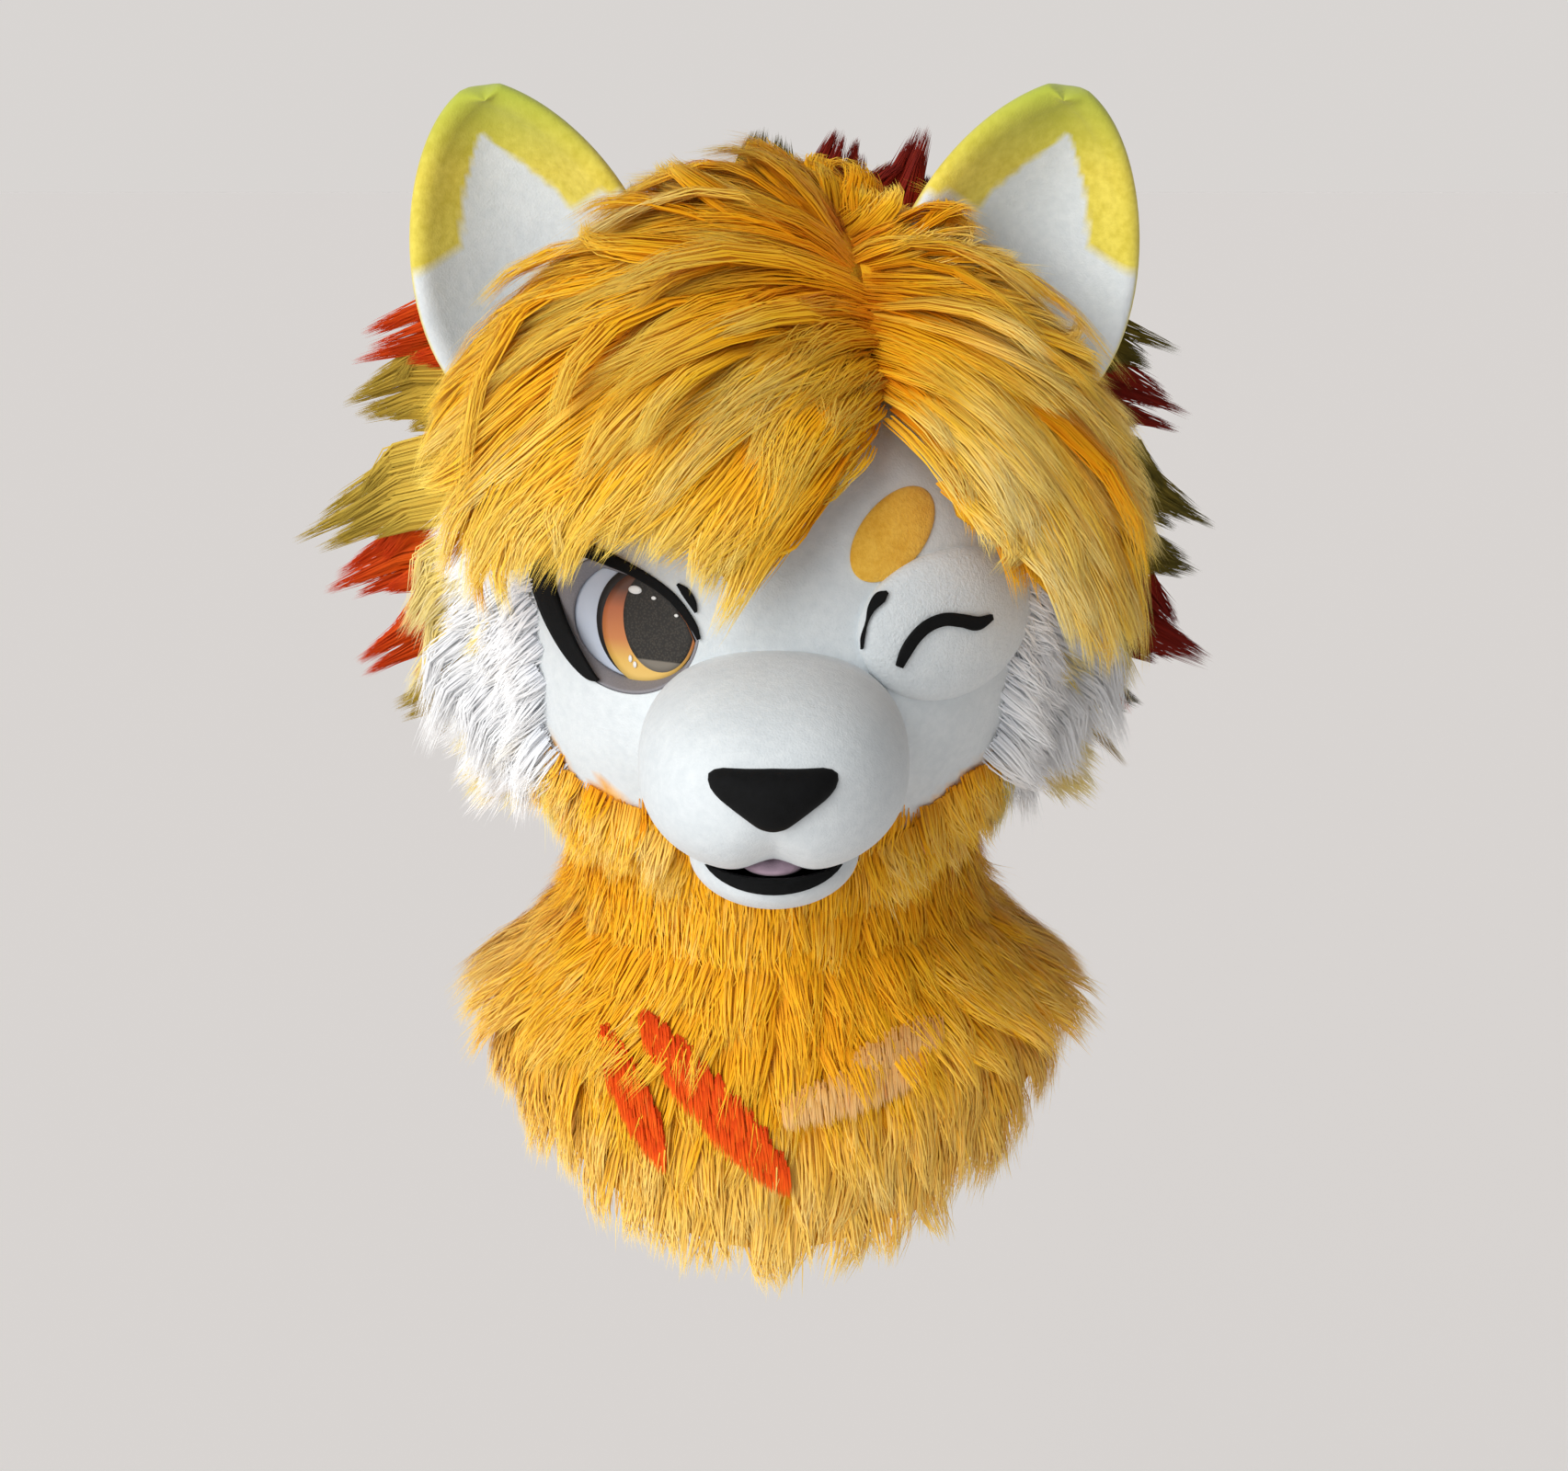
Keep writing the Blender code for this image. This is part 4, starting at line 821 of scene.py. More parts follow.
@dataclass
class Face:
    """The padded head skin with its muzzle, jaw, nose, lip and tongue."""

    skin: bpy.types.Material
    plush: bpy.types.Material
    felt: bpy.types.Material
    tongue: bpy.types.Material
    eye: "EyeSocket"
    segments: int = 112
    rings: int = 84
    muzzle_centre: tuple[float, float, float] = (0.0, -0.158, -0.186)
    muzzle_size: tuple[float, float, float] = (0.066, 0.089, 0.0495)
    muzzle_fullness: float = 2.3
    nose_centre: tuple[float, float] = (0.0, -0.1795)
    nose_corners: tuple[tuple[float, float], ...] = (
        (0.0, -0.0195), (0.0065, -0.0178), (0.0290, 0.0000), (0.0330, 0.0070), (0.0300, 0.0128), (0.0, 0.0138),
        (-0.0300, 0.0128), (-0.0330, 0.0070), (-0.0290, 0.0000), (-0.0065, -0.0178),
    )
    nose_thickness: float = 0.010
    jaw_centre: tuple[float, float, float] = (0.0, -0.140, -0.2378)
    jaw_size: tuple[float, float, float] = (0.0425, 0.067, 0.0225)
    mouth_level: float = -0.2322
    lip_swell: float = 0.0022
    lip_corner: tuple[float, float, float] = (0.0, -0.1850, -0.2328)
    lip_slope: float = 0.28
    tongue_centre: tuple[float, float, float] = (0.0, -0.1790, -0.2306)
    tongue_size: tuple[float, float, float] = (0.0165, 0.0240, 0.0050)

    def build(self) -> None:
        """Builds every piece of the face."""
        self.build_skin()
        self.build_muzzle()
        self.build_nose()
        self.build_mouth()

    def build_skin(self) -> None:
        """The head skin: a sphere of directions laid on the form, cut at its rim and walled."""
        bm = bmesh.new()
        bmesh.ops.create_uvsphere(bm, u_segments=self.segments, v_segments=self.rings, radius=1.0)
        set_verts(bm, HEAD.surface(verts_of(bm)))
        everything = bm.verts[:] + bm.edges[:] + bm.faces[:]
        bmesh.ops.bisect_plane(
            bm, geom=everything, plane_co=(0, 0, HEAD.rim_level), plane_no=(0, 0, -1), clear_outer=True
        )
        skin = add_piece("head_skin", mesh_from("head_skin", bm), self.skin, ["head_shell"])
        solidify(skin, HEAD.wall)
        self.eye.cut_from(skin)
        places = np.empty(3 * len(skin.data.vertices))
        skin.data.vertices.foreach_get("co", places)
        places = places.reshape(-1, 3)
        yellow = smoothstep(yellow_edge(places[:, 0]) - places[:, 2], -0.003, 0.003)
        skin.data.attributes.new("yellow", "FLOAT", "POINT").data.foreach_set("value", yellow)

    def muzzle_point(self, ways: np.ndarray, lift: float = 0.0) -> np.ndarray:
        """Points of the muzzle for unit vectors, with the groove drawn up between the two lips."""
        size = np.array(self.muzzle_size) + lift
        full = (np.abs(ways) ** self.muzzle_fullness).sum(axis=1) ** (-1 / self.muzzle_fullness)
        places = np.array(self.muzzle_centre) + ways * full[:, None] * size
        ahead, low = np.maximum(0, -ways[:, 1]), np.maximum(0, -ways[:, 2])
        groove = np.exp(-((ways[:, 0] / 0.20) ** 2)) * ahead * low
        crease = np.exp(-((ways[:, 0] / 0.035) ** 2)) * ahead**2 * smoothstep(-ways[:, 2], 0.2, 0.6)
        places[:, 1] += 0.010 * groove + 0.0035 * crease
        places[:, 2] += 0.016 * groove * low
        return places

    def build_muzzle(self) -> None:
        """The rounded muzzle with its two lips."""
        bm = bmesh.new()
        bmesh.ops.create_uvsphere(bm, u_segments=96, v_segments=64, radius=1.0)
        set_verts(bm, self.muzzle_point(verts_of(bm)))
        muzzle = add_piece("muzzle_skin", mesh_from("muzzle_skin", bm), self.plush, ["muzzle"])

    def on_muzzle(self, x: np.ndarray, z: np.ndarray, lift: np.ndarray | float = 0.0) -> np.ndarray:
        """Points of the muzzle seen from the front."""
        centre, size = np.array(self.muzzle_centre), np.array(self.muzzle_size)
        power = self.muzzle_fullness
        left = 1 - np.abs((x - centre[0]) / size[0]) ** power - np.abs((z - centre[2]) / size[2]) ** power
        y = centre[1] - (size[1] + lift) * np.maximum(left, 0.02) ** (1 / power)
        return np.stack([x, y, z], axis=1)

    def build_nose(self) -> None:
        """The nose: a rounded triangle, flat on top, padded and pulled in at its sides."""
        bm = bmesh.new()
        bmesh.ops.create_uvsphere(bm, u_segments=64, v_segments=24, radius=1.0)
        ways = verts_of(bm)
        flat = np.hypot(ways[:, 0], ways[:, 1])
        angle = np.arctan2(ways[:, 1], ways[:, 0])
        reach = self.nose_outline(angle) * flat[:, None]
        x = self.nose_centre[0] + reach[:, 0]
        z = self.nose_centre[1] + reach[:, 1]
        lift = np.sign(ways[:, 2]) * np.abs(ways[:, 2]) ** 0.8 * self.nose_thickness
        places = self.on_muzzle(x, z, np.where(lift > 0, lift, lift * 0.5))
        set_verts(bm, places)
        add_piece("nose_pad", mesh_from("nose_pad", bm), self.felt, ["nose"])

    def nose_outline(self, angle: np.ndarray) -> np.ndarray:
        """The nose's edge at an angle from its middle: nearly flat above, a soft point below."""
        corners = self.nose_corners + self.nose_corners[:1]
        near = np.linspace(-0.11, 0.11, 7)
        reach = np.mean([reach_within((0, 0), angle + turn, corners) for turn in near], axis=0)
        return np.stack([0.94 * np.cos(angle), 0.88 * np.sin(angle)], axis=1) * reach[:, None]

    def mouth_piece(
        self, name: str, swell: float, above_lip: bool, material: bpy.types.Material, node: str
    ) -> None:
        """The jaw's form below the mouth's level; the lip keeps only what is over the slanted plane.

        Args:
            name: The piece's name.
            swell: How far it stands over the jaw.
            above_lip: Whether only the part over the lip's plane is kept.
            material: Its finish.
            node: The CAD node that it replaces.
        """
        bm = bmesh.new()
        bmesh.ops.create_uvsphere(bm, u_segments=64, v_segments=40, radius=1.0)
        set_verts(bm, np.array(self.jaw_centre) + verts_of(bm) * (np.array(self.jaw_size) + swell))
        planes = [((0, 0, self.mouth_level), (0, 0, 1))]
        if above_lip:
            planes.append((self.lip_corner, (0, self.lip_slope, -1)))
        for point, outward in planes:
            everything = bm.verts[:] + bm.edges[:] + bm.faces[:]
            bmesh.ops.bisect_plane(bm, geom=everything, plane_co=point, plane_no=outward, clear_outer=True)
            rims = [edge for edge in bm.edges if edge.is_boundary]
            bmesh.ops.holes_fill(bm, edges=rims, sides=0)
        mesh = mesh_from(name, bm)
        mesh.set_sharp_from_angle(angle=math.radians(40))
        add_piece(name, mesh, material, [node])

    def build_mouth(self) -> None:
        """The chin, the black lower lip and the tongue."""
        self.mouth_piece("jaw_skin", 0.0, False, self.plush, "lower_jaw")
        self.mouth_piece("lip_band", self.lip_swell, True, self.felt, "lower_lip")
        bm = bmesh.new()
        bmesh.ops.create_uvsphere(bm, u_segments=40, v_segments=24, radius=1.0)
        ways = verts_of(bm)
        places = np.array(self.tongue_centre) + ways * np.array(self.tongue_size)
        places[:, 2] -= 0.0016 * np.exp(-((ways[:, 0] / 0.22) ** 2)) * np.maximum(0, ways[:, 2])
        set_verts(bm, places)
        add_piece("tongue_pad", mesh_from("tongue_pad", bm), self.tongue, ["tongue"])


@dataclass
class EyeSocket:
    """The open eye: a grey well sunk in the face, a white, an iris and a mesh pupil."""

    grey: bpy.types.Material
    white: bpy.types.Material
    iris: bpy.types.Material
    pupil: bpy.types.Material
    black: bpy.types.Material
    shine: bpy.types.Material
    centre: tuple[float, float] = (-0.0740, -0.1285)
    half: tuple[float, float] = (0.0375, 0.0355)
    lid: tuple[tuple[float, float], ...] = (
        (-0.0365, -0.1340), (-0.0405, -0.1246), (-0.0495, -0.1127), (-0.0618, -0.1045), (-0.0744, -0.1005),
        (-0.0900, -0.0975),
    )
    plate_y: float = -0.1045
    plate_turn: float = 0.52
    well_shift: float = 0.0060
    well_narrowing: float = 0.0065
    rim: float = 0.0022
    iris_centre: tuple[float, float] = (-0.0600, -0.1320)
    iris_half: tuple[float, float] = (0.0262, 0.0305)
    pupil_centre: tuple[float, float] = (-0.0575, -0.1270)
    pupil_half: tuple[float, float] = (0.0180, 0.0262)
    points: int = 96

    def outline(self, share: np.ndarray, angle: np.ndarray, inset: float, shift: float) -> np.ndarray:
        """Points inside the eye's outline: share 0 at the middle and 1 at the edge.

        Args:
            share: How far out.
            angle: The way round.
            inset: How far inside the outline.
            shift: How far it is moved across.

        Returns:
            Places across and up, as rows.
        """
        half = (self.half[0] - inset, self.half[1] - inset)
        reach = reach_oval(self.centre, angle, self.centre, half)
        reach = np.minimum(reach, reach_within(self.centre, angle, self.lid, inset)) * share
        return np.stack(
            [self.centre[0] + shift * share + reach * np.cos(angle), self.centre[1] + reach * np.sin(angle)], axis=1
        )

    def plate_depth(self, x: np.ndarray) -> np.ndarray:
        """The y of the eye's turned back plate."""
        return self.plate_y - self.plate_turn * (x - self.centre[0])

    def cut_from(self, skin: bpy.types.Object) -> None:
        """Cuts the eye's opening through the head skin."""
        bm = bmesh.new()
        bmesh.ops.create_cone(
            bm, cap_ends=True, segments=self.points, radius1=1.0, radius2=1.0, depth=2.0
        )
        points = verts_of(bm)
        flat = self.outline(np.ones(len(points)), np.arctan2(points[:, 1], points[:, 0]), 0.0, 0.0)
        set_verts(bm, np.stack([flat[:, 0], np.where(points[:, 2] > 0, -0.20, -0.055), flat[:, 1]], axis=1))
        bmesh.ops.recalc_face_normals(bm, faces=bm.faces)
        mesh = bpy.data.meshes.new("eye_cutter")
        bm.to_mesh(mesh)
        bm.free()
        cutter = bpy.data.objects.new("eye_cutter", mesh)
        bpy.context.scene.collection.objects.link(cutter)
        opening = skin.modifiers.new("eye_opening", "BOOLEAN")
        opening.object = cutter
        opening.solver = "EXACT"
        bpy.context.view_layer.update()
        graph = bpy.context.evaluated_depsgraph_get()
        cut = bpy.data.meshes.new_from_object(skin.evaluated_get(graph))
        cut.set_sharp_from_angle(angle=math.radians(50))
        skin.modifiers.clear()
        skin.data = cut
        bpy.data.objects.remove(cutter)

    def disc(
        self, name: str, place: Place, material: bpy.types.Material, replaces: Sequence[str], wall: float,
        segments: int = 96, rings: int = 8,
    ) -> bpy.types.Object:
        """A thin plate laid by a rule of share out and angle, from a circle primitive with rings inset.

        Args:
            name: The piece's name.
            place: Gives points for shares out and angles.
            material: Its finish.
            replaces: CAD nodes.
            wall: Its thickness.
            segments: Faces round.
            rings: Rings from the middle to the edge.

        Returns:
            The plate.
        """
        bm = bmesh.new()
        bmesh.ops.create_circle(bm, cap_ends=True, cap_tris=True, segments=segments, radius=1.0)
        spokes = [edge for edge in bm.edges if not edge.is_boundary]
        bmesh.ops.subdivide_edges(bm, edges=spokes, cuts=rings - 1)
        points = verts_of(bm)
        share = np.minimum(np.hypot(points[:, 0], points[:, 1]), 1)
        angle = np.arctan2(points[:, 1], points[:, 0])
        out = bm.verts.layers.float.new("out")
        for vertex, value in zip(bm.verts, share):
            vertex[out] = value
        set_verts(bm, place(share, angle))
        piece = add_piece(name, mesh_from(name, bm), material, replaces)
        solidify(piece, wall, even=False)
        return piece

    def oval(
        self, centre: tuple[float, float], half: tuple[float, float], lift: float, inset: float = 0.004
    ) -> Place:
        """A rule that lays a disc as an oval on the eye's back plate, cut by the lid and the well.

        Args:
            centre: The oval's middle across and up.
            half: Its half sizes.
            lift: How far before the plate it lies.
            inset: How far it keeps inside the well's wall.

        Returns:
            The placing rule.
        """

        def place(share: np.ndarray, angle: np.ndarray) -> np.ndarray:
            room = (self.half[0] - self.well_narrowing - 0.3 * inset, self.half[1] - 0.7 * self.well_narrowing)
            side = (self.centre[0] + self.well_shift, self.centre[1])
            reach = np.minimum(reach_oval(centre, angle, centre, half), reach_oval(centre, angle, side, room))
            reach = np.minimum(reach, reach_within(centre, angle, self.lid, inset)) * share
            x, z = centre[0] + reach * np.cos(angle), centre[1] + reach * np.sin(angle)
            return np.stack([x, self.plate_depth(x) - lift, z], axis=1)

        return place

    def build(self) -> None:
        """Builds the well, the white, the iris with its black rim, the pupil and the highlights."""

        def wall(angle: np.ndarray, share: np.ndarray) -> np.ndarray:
            inset = self.rim + (self.well_narrowing - self.rim) * share
            flat = np.concatenate(
                [
                    self.outline(np.ones(1), np.array([a]), float(i) - self.rim, float(s) * self.well_shift)
                    for a, i, s in zip(angle, inset, share)
                ]
            )
            near = HEAD.front(flat[:, 0], flat[:, 1], -0.001)[:, 1]
            y = near + (self.plate_depth(flat[:, 0]) - near) * share
            return np.stack([flat[:, 0], y, flat[:, 1]], axis=1)

        well = add_piece(
            "eye_socket", mesh_from("eye_socket", tube_mesh(self.points, 8, wall)), self.grey,
            ["eye_well"],
        )
        solidify(well, 0.0016, offset=1.0, even=False)

        def back(share: np.ndarray, angle: np.ndarray) -> np.ndarray:
            flat = self.outline(share, angle, self.well_narrowing - 0.0035, self.well_shift)
            return np.stack([flat[:, 0], self.plate_depth(flat[:, 0]), flat[:, 1]], axis=1)

        self.disc("eye_white_plate", back, self.white, ["eye_white"], 0.0014)
        black_centre = (self.iris_centre[0] - 0.0030, self.iris_centre[1] + 0.0020)
        self.disc(
            "iris_outline", self.oval(black_centre, self.iris_half, 0.0008, 0.0008), self.black, [], 0.0006
        )
        self.disc(
            "iris_print", self.oval(self.iris_centre, self.iris_half, 0.0016, 0.0030), self.iris,
            ["eye_iris"], 0.0006,
        )
        self.disc(
            "pupil_mesh", self.oval(self.pupil_centre, self.pupil_half, 0.0024, 0.0034), self.pupil,
            ["eye_pupil"], 0.0006,
        )
        spots = (
            ("glint", (-0.0692, -0.1122), (0.0034, 0.0021)), ("glint_small", (-0.0598, -0.1154), (0.0012, 0.0009)),
            ("glint_far", (-0.0482, -0.1229), (0.0010, 0.0008)), ("sparkle_outer", (-0.0722, -0.1478), (0.0009, 0.0019)),
            ("sparkle_outer_low", (-0.0699, -0.1506), (0.0009, 0.0017)),
            ("sparkle_inner", (-0.0414, -0.1462), (0.0008, 0.0018)),
            ("sparkle_inner_low", (-0.0428, -0.1486), (0.0007, 0.0014)),
        )
        for name, centre, half in spots:
            self.disc(name, self.oval(centre, half, 0.0032, 0.001), self.shine, [], 0.0004, 24, 2)


@dataclass(frozen=True)
class FeltLine:
    """A flat strip of black felt along a few stations: across, up and half the width there."""

    name: str
    node: str
    stations: tuple[tuple[float, float, float], ...]
    thickness: float = 0.0018

    def centre_line(self, share: np.ndarray) -> np.ndarray:
        """Stations eased between the table's rows by a Catmull-Rom curve.

        Args:
            share: Places along the strip, 0 to 1.

        Returns:
            Rows of across, up and half width.
        """
        table = np.array(self.stations)
        padded = np.concatenate([[2 * table[0] - table[1]], table, [2 * table[-1] - table[-2]]])
        place = share * (len(table) - 1)
        low = np.minimum(place.astype(int), len(table) - 2)
        t = (place - low)[:, None]
        a, b, c, d = (padded[low + k] for k in range(4))
        return 0.5 * (2 * b + (c - a) * t + (2 * a - 5 * b + 4 * c - d) * t**2 + (3 * b - a - 3 * c + d) * t**3)

    def build(self, surface: Place, material: bpy.types.Material) -> None:
        """Lays the strip on a surface given as points for places across and up."""

        def place(across: np.ndarray, along: np.ndarray) -> np.ndarray:
            here = self.centre_line(along)
            step = 0.004
            ahead = self.centre_line(np.clip(along + step, 0, 1)) - self.centre_line(np.clip(along - step, 0, 1))
            way = unit(ahead[:, :2])
            wide = np.maximum(here[:, 2], 0.0003) * (across * 2 - 1)
            return surface(here[:, 0] - way[:, 1] * wide, here[:, 1] + way[:, 0] * wide)

        bm = sheet_mesh(6, 60, place)
        strip = add_piece(self.name, mesh_from(self.name, bm), material, [self.node])
        for polygon in strip.data.polygons[:1]:
            if polygon.normal.y > 0:
                strip.data.flip_normals()
        solidify(strip, self.thickness, offset=1.0)


@dataclass
class FacePatches:
    """What is sewn on the face: the winking lid, the black lines round the eyes and the brow."""

    plush: bpy.types.Material
    felt: bpy.types.Material
    brow: bpy.types.Material
    lid_centre: tuple[float, float] = (0.0880, -0.1300)
    lid_half: tuple[float, float] = (0.0470, 0.0385)
    lid_thickness: float = 0.0110
    brow_centre: tuple[float, float] = (0.0585, -0.0825)
    brow_half: tuple[float, float] = (0.0260, 0.0165)
    brow_turn: float = math.radians(48)
    lines: tuple[FeltLine, ...] = (
        FeltLine(
            "eyeliner_felt", "eyeliner",
            (
                (-0.0366, -0.1322, 0.0008), (-0.0402, -0.1242, 0.0018), (-0.0494, -0.1123, 0.0021),
                (-0.0624, -0.1036, 0.0024), (-0.0785, -0.0972, 0.0030), (-0.0980, -0.0930, 0.0042),
                (-0.1125, -0.0990, 0.0064), (-0.1172, -0.1110, 0.0070), (-0.1138, -0.1245, 0.0064),
                (-0.1078, -0.1370, 0.0056), (-0.1006, -0.1480, 0.0045), (-0.0932, -0.1562, 0.0028),
                (-0.0880, -0.1590, 0.0006),
            ),
        ),
        FeltLine(
            "eye_corner_felt_right", "eye_corner_right",
            ((-0.0470, -0.1052, 0.0005), (-0.0432, -0.1088, 0.0020), (-0.0398, -0.1140, 0.0018), (-0.0380, -0.1188, 0.0005)),
        ),
        FeltLine(
            "eye_corner_felt_left", "eye_corner_left",
            (
                (0.0556, -0.1085, 0.0008), (0.0522, -0.1112, 0.0026), (0.0482, -0.1160, 0.0017),
                (0.0458, -0.1225, 0.0006), (0.0440, -0.1300, 0.0008), (0.0437, -0.1360, 0.0004),
            ),
        ),
    )
    lid_line: FeltLine = FeltLine(
        "eyelid_line_felt", "eyelid_line",
        (
            (0.0615, -0.1455, 0.0018), (0.0645, -0.1385, 0.0028), (0.0690, -0.1315, 0.0030),
            (0.0755, -0.1260, 0.0031), (0.0840, -0.1238, 0.0032), (0.0930, -0.1258, 0.0033),
            (0.1010, -0.1285, 0.0034), (0.1085, -0.1268, 0.0014),
        ),
    )

    def lid_height(self, x: np.ndarray, z: np.ndarray) -> np.ndarray:
        """How far the lid pad stands over the face at a place seen from the front."""
        out = np.hypot((x - self.lid_centre[0]) / self.lid_half[0], (z - self.lid_centre[1]) / self.lid_half[1])
        return self.lid_thickness * np.sqrt(np.maximum(0.0, 1 - out**2)) ** 0.6

    def pad(
        self, name: str, centre: Sequence[float], half: Sequence[float], thickness: float, turn: float,
        material: bpy.types.Material, node: str, segments: int = 72,
    ) -> bpy.types.Object:
        """A padded oval on the face, from a sphere primitive pressed on it.

        Args:
            name: The piece's name.
            centre: Its middle across and up.
            half: Its half sizes.
            thickness: How far it stands out.
            turn: How far it is turned, counter-clockwise seen from the front.
            material: Its finish.
            node: The CAD node that it replaces.
            segments: Faces round.

        Returns:
            The pad.
        """
        bm = bmesh.new()
        bmesh.ops.create_uvsphere(bm, u_segments=segments, v_segments=28, radius=1.0)
        ways = verts_of(bm)
        a, b = ways[:, 0] * half[0], ways[:, 1] * half[1]
        x = centre[0] + a * math.cos(turn) - b * math.sin(turn)
        z = centre[1] + a * math.sin(turn) + b * math.cos(turn)
        lift = np.sign(ways[:, 2]) * np.abs(ways[:, 2]) ** 0.6 * thickness
        set_verts(bm, HEAD.front(x, z, np.where(lift > 0, lift, 0.3 * lift)))
        return add_piece(name, mesh_from(name, bm), material, [node])

    def build(self) -> None:
        """Builds the lid, its line, the lines round the eyes and the brow."""
        lid = self.pad(
            "eyelid_cushion", self.lid_centre, self.lid_half, self.lid_thickness, 0.0, self.plush,
            "eyelid_pad",
        )
        for line in self.lines:
            line.build(lambda x, z: HEAD.front(x, z, self.lid_height(x, z) + 0.0004), self.felt)
        self.lid_line.build(lambda x, z: HEAD.front(x, z, self.lid_height(x, z) + 0.0002), self.felt)
        self.pad(
            "brow_plush", self.brow_centre, self.brow_half, 0.0030, self.brow_turn, self.brow,
            "brow_patch",
        )


@dataclass
class Ears:
    """Two cupped ears: a soft rim of yellow plush round a white panel."""

    plush: bpy.types.Material
    fuzz: bpy.types.Material
    tip: tuple[float, float] = (0.149, 0.1215)
    outer: tuple[tuple[float, float], ...] = ((0.118, -0.045), (0.208, -0.050), (0.198, 0.112))
    inner: tuple[tuple[float, float], ...] = ((0.060, -0.004), (0.064, 0.080), (0.122, 0.122))
    cup: float = 0.044
    thickness: float = 0.013
    squareness: float = 1.25
    turn_out: float = 0.009
    panel: tuple[tuple[float, float, float], ...] = (
        (0.00, -1.2, 1.2), (0.395, -1.2, 1.2), (0.405, -1.2, 0.60), (0.485, -1.2, 0.55), (0.495, -0.58, 0.54),
        (0.62, -0.44, 0.36), (0.74, -0.20, 0.06), (0.78, -0.08, -0.06),
    )

    def edge(self, points: Sequence[tuple[float, float]], t: np.ndarray) -> np.ndarray:
        """A cubic edge of the ear from its base to its tip."""
        a, b, c, d = (np.array(point) for point in (*points, self.tip))
        t = t[:, None]
        s = 1 - t
        return a * s**3 + 3 * b * s * s * t + 3 * c * s * t * t + d * t**3

    def front(self, s: np.ndarray, t: np.ndarray) -> np.ndarray:
        """Points of the cupped front: s from -1 outside to 1 inside, t from base to tip."""
        outer, inner = self.edge(self.outer, t), self.edge(self.inner, t)
        flat = outer + (inner - outer) * ((s + 1) / 2)[:, None]
        cup = self.cup * (1 - np.maximum(t, 0) ** 1.5) * (1 - s * s)
        turned = -self.turn_out * s * (1 - np.maximum(t, 0) ** 2)
        return np.stack([flat[:, 0], cup + turned, flat[:, 1]], axis=1)

    def white_share(self, s: np.ndarray, t: np.ndarray) -> np.ndarray:
        """How white the ear is: one on the panel, none on the band, with a soft cut line."""
        rows = np.array(self.panel)
        low, high = np.interp(t, rows[:, 0], rows[:, 1]), np.interp(t, rows[:, 0], rows[:, 2])
        inside = np.minimum(s - low, high - s)
        return smoothstep(inside, -0.03, 0.03) * (t < rows[-1, 0])

    def outward(self, s: np.ndarray, t: np.ndarray) -> np.ndarray:
        """Unit vectors square off the cupped front, facing forwards."""
        step = 0.01
        across = self.front(s + step, t) - self.front(s - step, t)
        upward = self.front(s, np.minimum(t + step, 1.0)) - self.front(s, t - step)
        way = unit(np.cross(upward, across))
        return np.where(way[:, 1:2] > 0, -way, way)

    def section(self, angle: np.ndarray, t: np.ndarray) -> tuple[np.ndarray, np.ndarray]:
        """A flat section with round ends: places across it and lifts off its front.

        Args:
            angle: The way round the section; positive angles are in front.
            t: The level on the ear.

        Returns:
            Places from -1 to 1, and lifts that are 0 in front and negative behind.
        """
        half = np.linalg.norm(self.edge(self.outer, t) - self.edge(self.inner, t), axis=1) / 2
        round_off = np.minimum(self.thickness / 2, 0.8 * half)
        flat = 1 / self.squareness
        turn = np.clip((np.abs(np.cos(angle)) - flat) / (1 - flat), 0, 1) * math.pi / 2
        straight = (half - round_off) * np.clip(np.cos(angle) * self.squareness, -1, 1)
        across = straight + np.sign(np.cos(angle)) * round_off * np.sin(turn)
        lift = np.sign(np.sin(angle)) * round_off * np.cos(turn) - round_off
        return across / np.maximum(half, 1e-5), lift

    def build_one(self, side: int, word: str) -> None:
        """Builds one ear.

        Args:
            side: 1 for the wearer's left and -1 for the right.
            word: The side's name in the piece's name.
        """
        kept = []

        def place(angle: np.ndarray, share: np.ndarray) -> np.ndarray:
            t = 1 - (1 - share) ** 1.6
            s, lift = self.section(angle, t)
            points = self.front(s, t) + self.outward(s, np.clip(t, 0.011, 0.985)) * lift[:, None]
            points[:, 0] *= side
            kept.append(self.white_share(s, t) * smoothstep(lift, -0.7 * self.thickness, -0.4 * self.thickness))
            return points

        bm = tube_mesh(88, 44, place)
        white = bm.verts.layers.float.new("white")
        for vertex, value in zip(bm.verts, kept[0]):
            vertex[white] = value
        bmesh.ops.remove_doubles(bm, verts=bm.verts, dist=1e-5)
        rims = [edge for edge in bm.edges if edge.is_boundary]
        bmesh.ops.holes_fill(bm, edges=rims, sides=0)
        name = f"ear_cup_{word}"
        ear = add_piece(name, mesh_from(name, bm), self.plush, [f"ear_{word}", f"ear_panel_{word}"])

    def build(self) -> None:
        """Builds both ears."""
        self.build_one(-1, "right")
        self.build_one(1, "left")


@dataclass(frozen=True)
class HairGuide:
    """One line of the hair's fan: where it leaves the parting, how high it stands, and its tip."""

    parting: float
    rise: float
    tip: tuple[float, float, float]


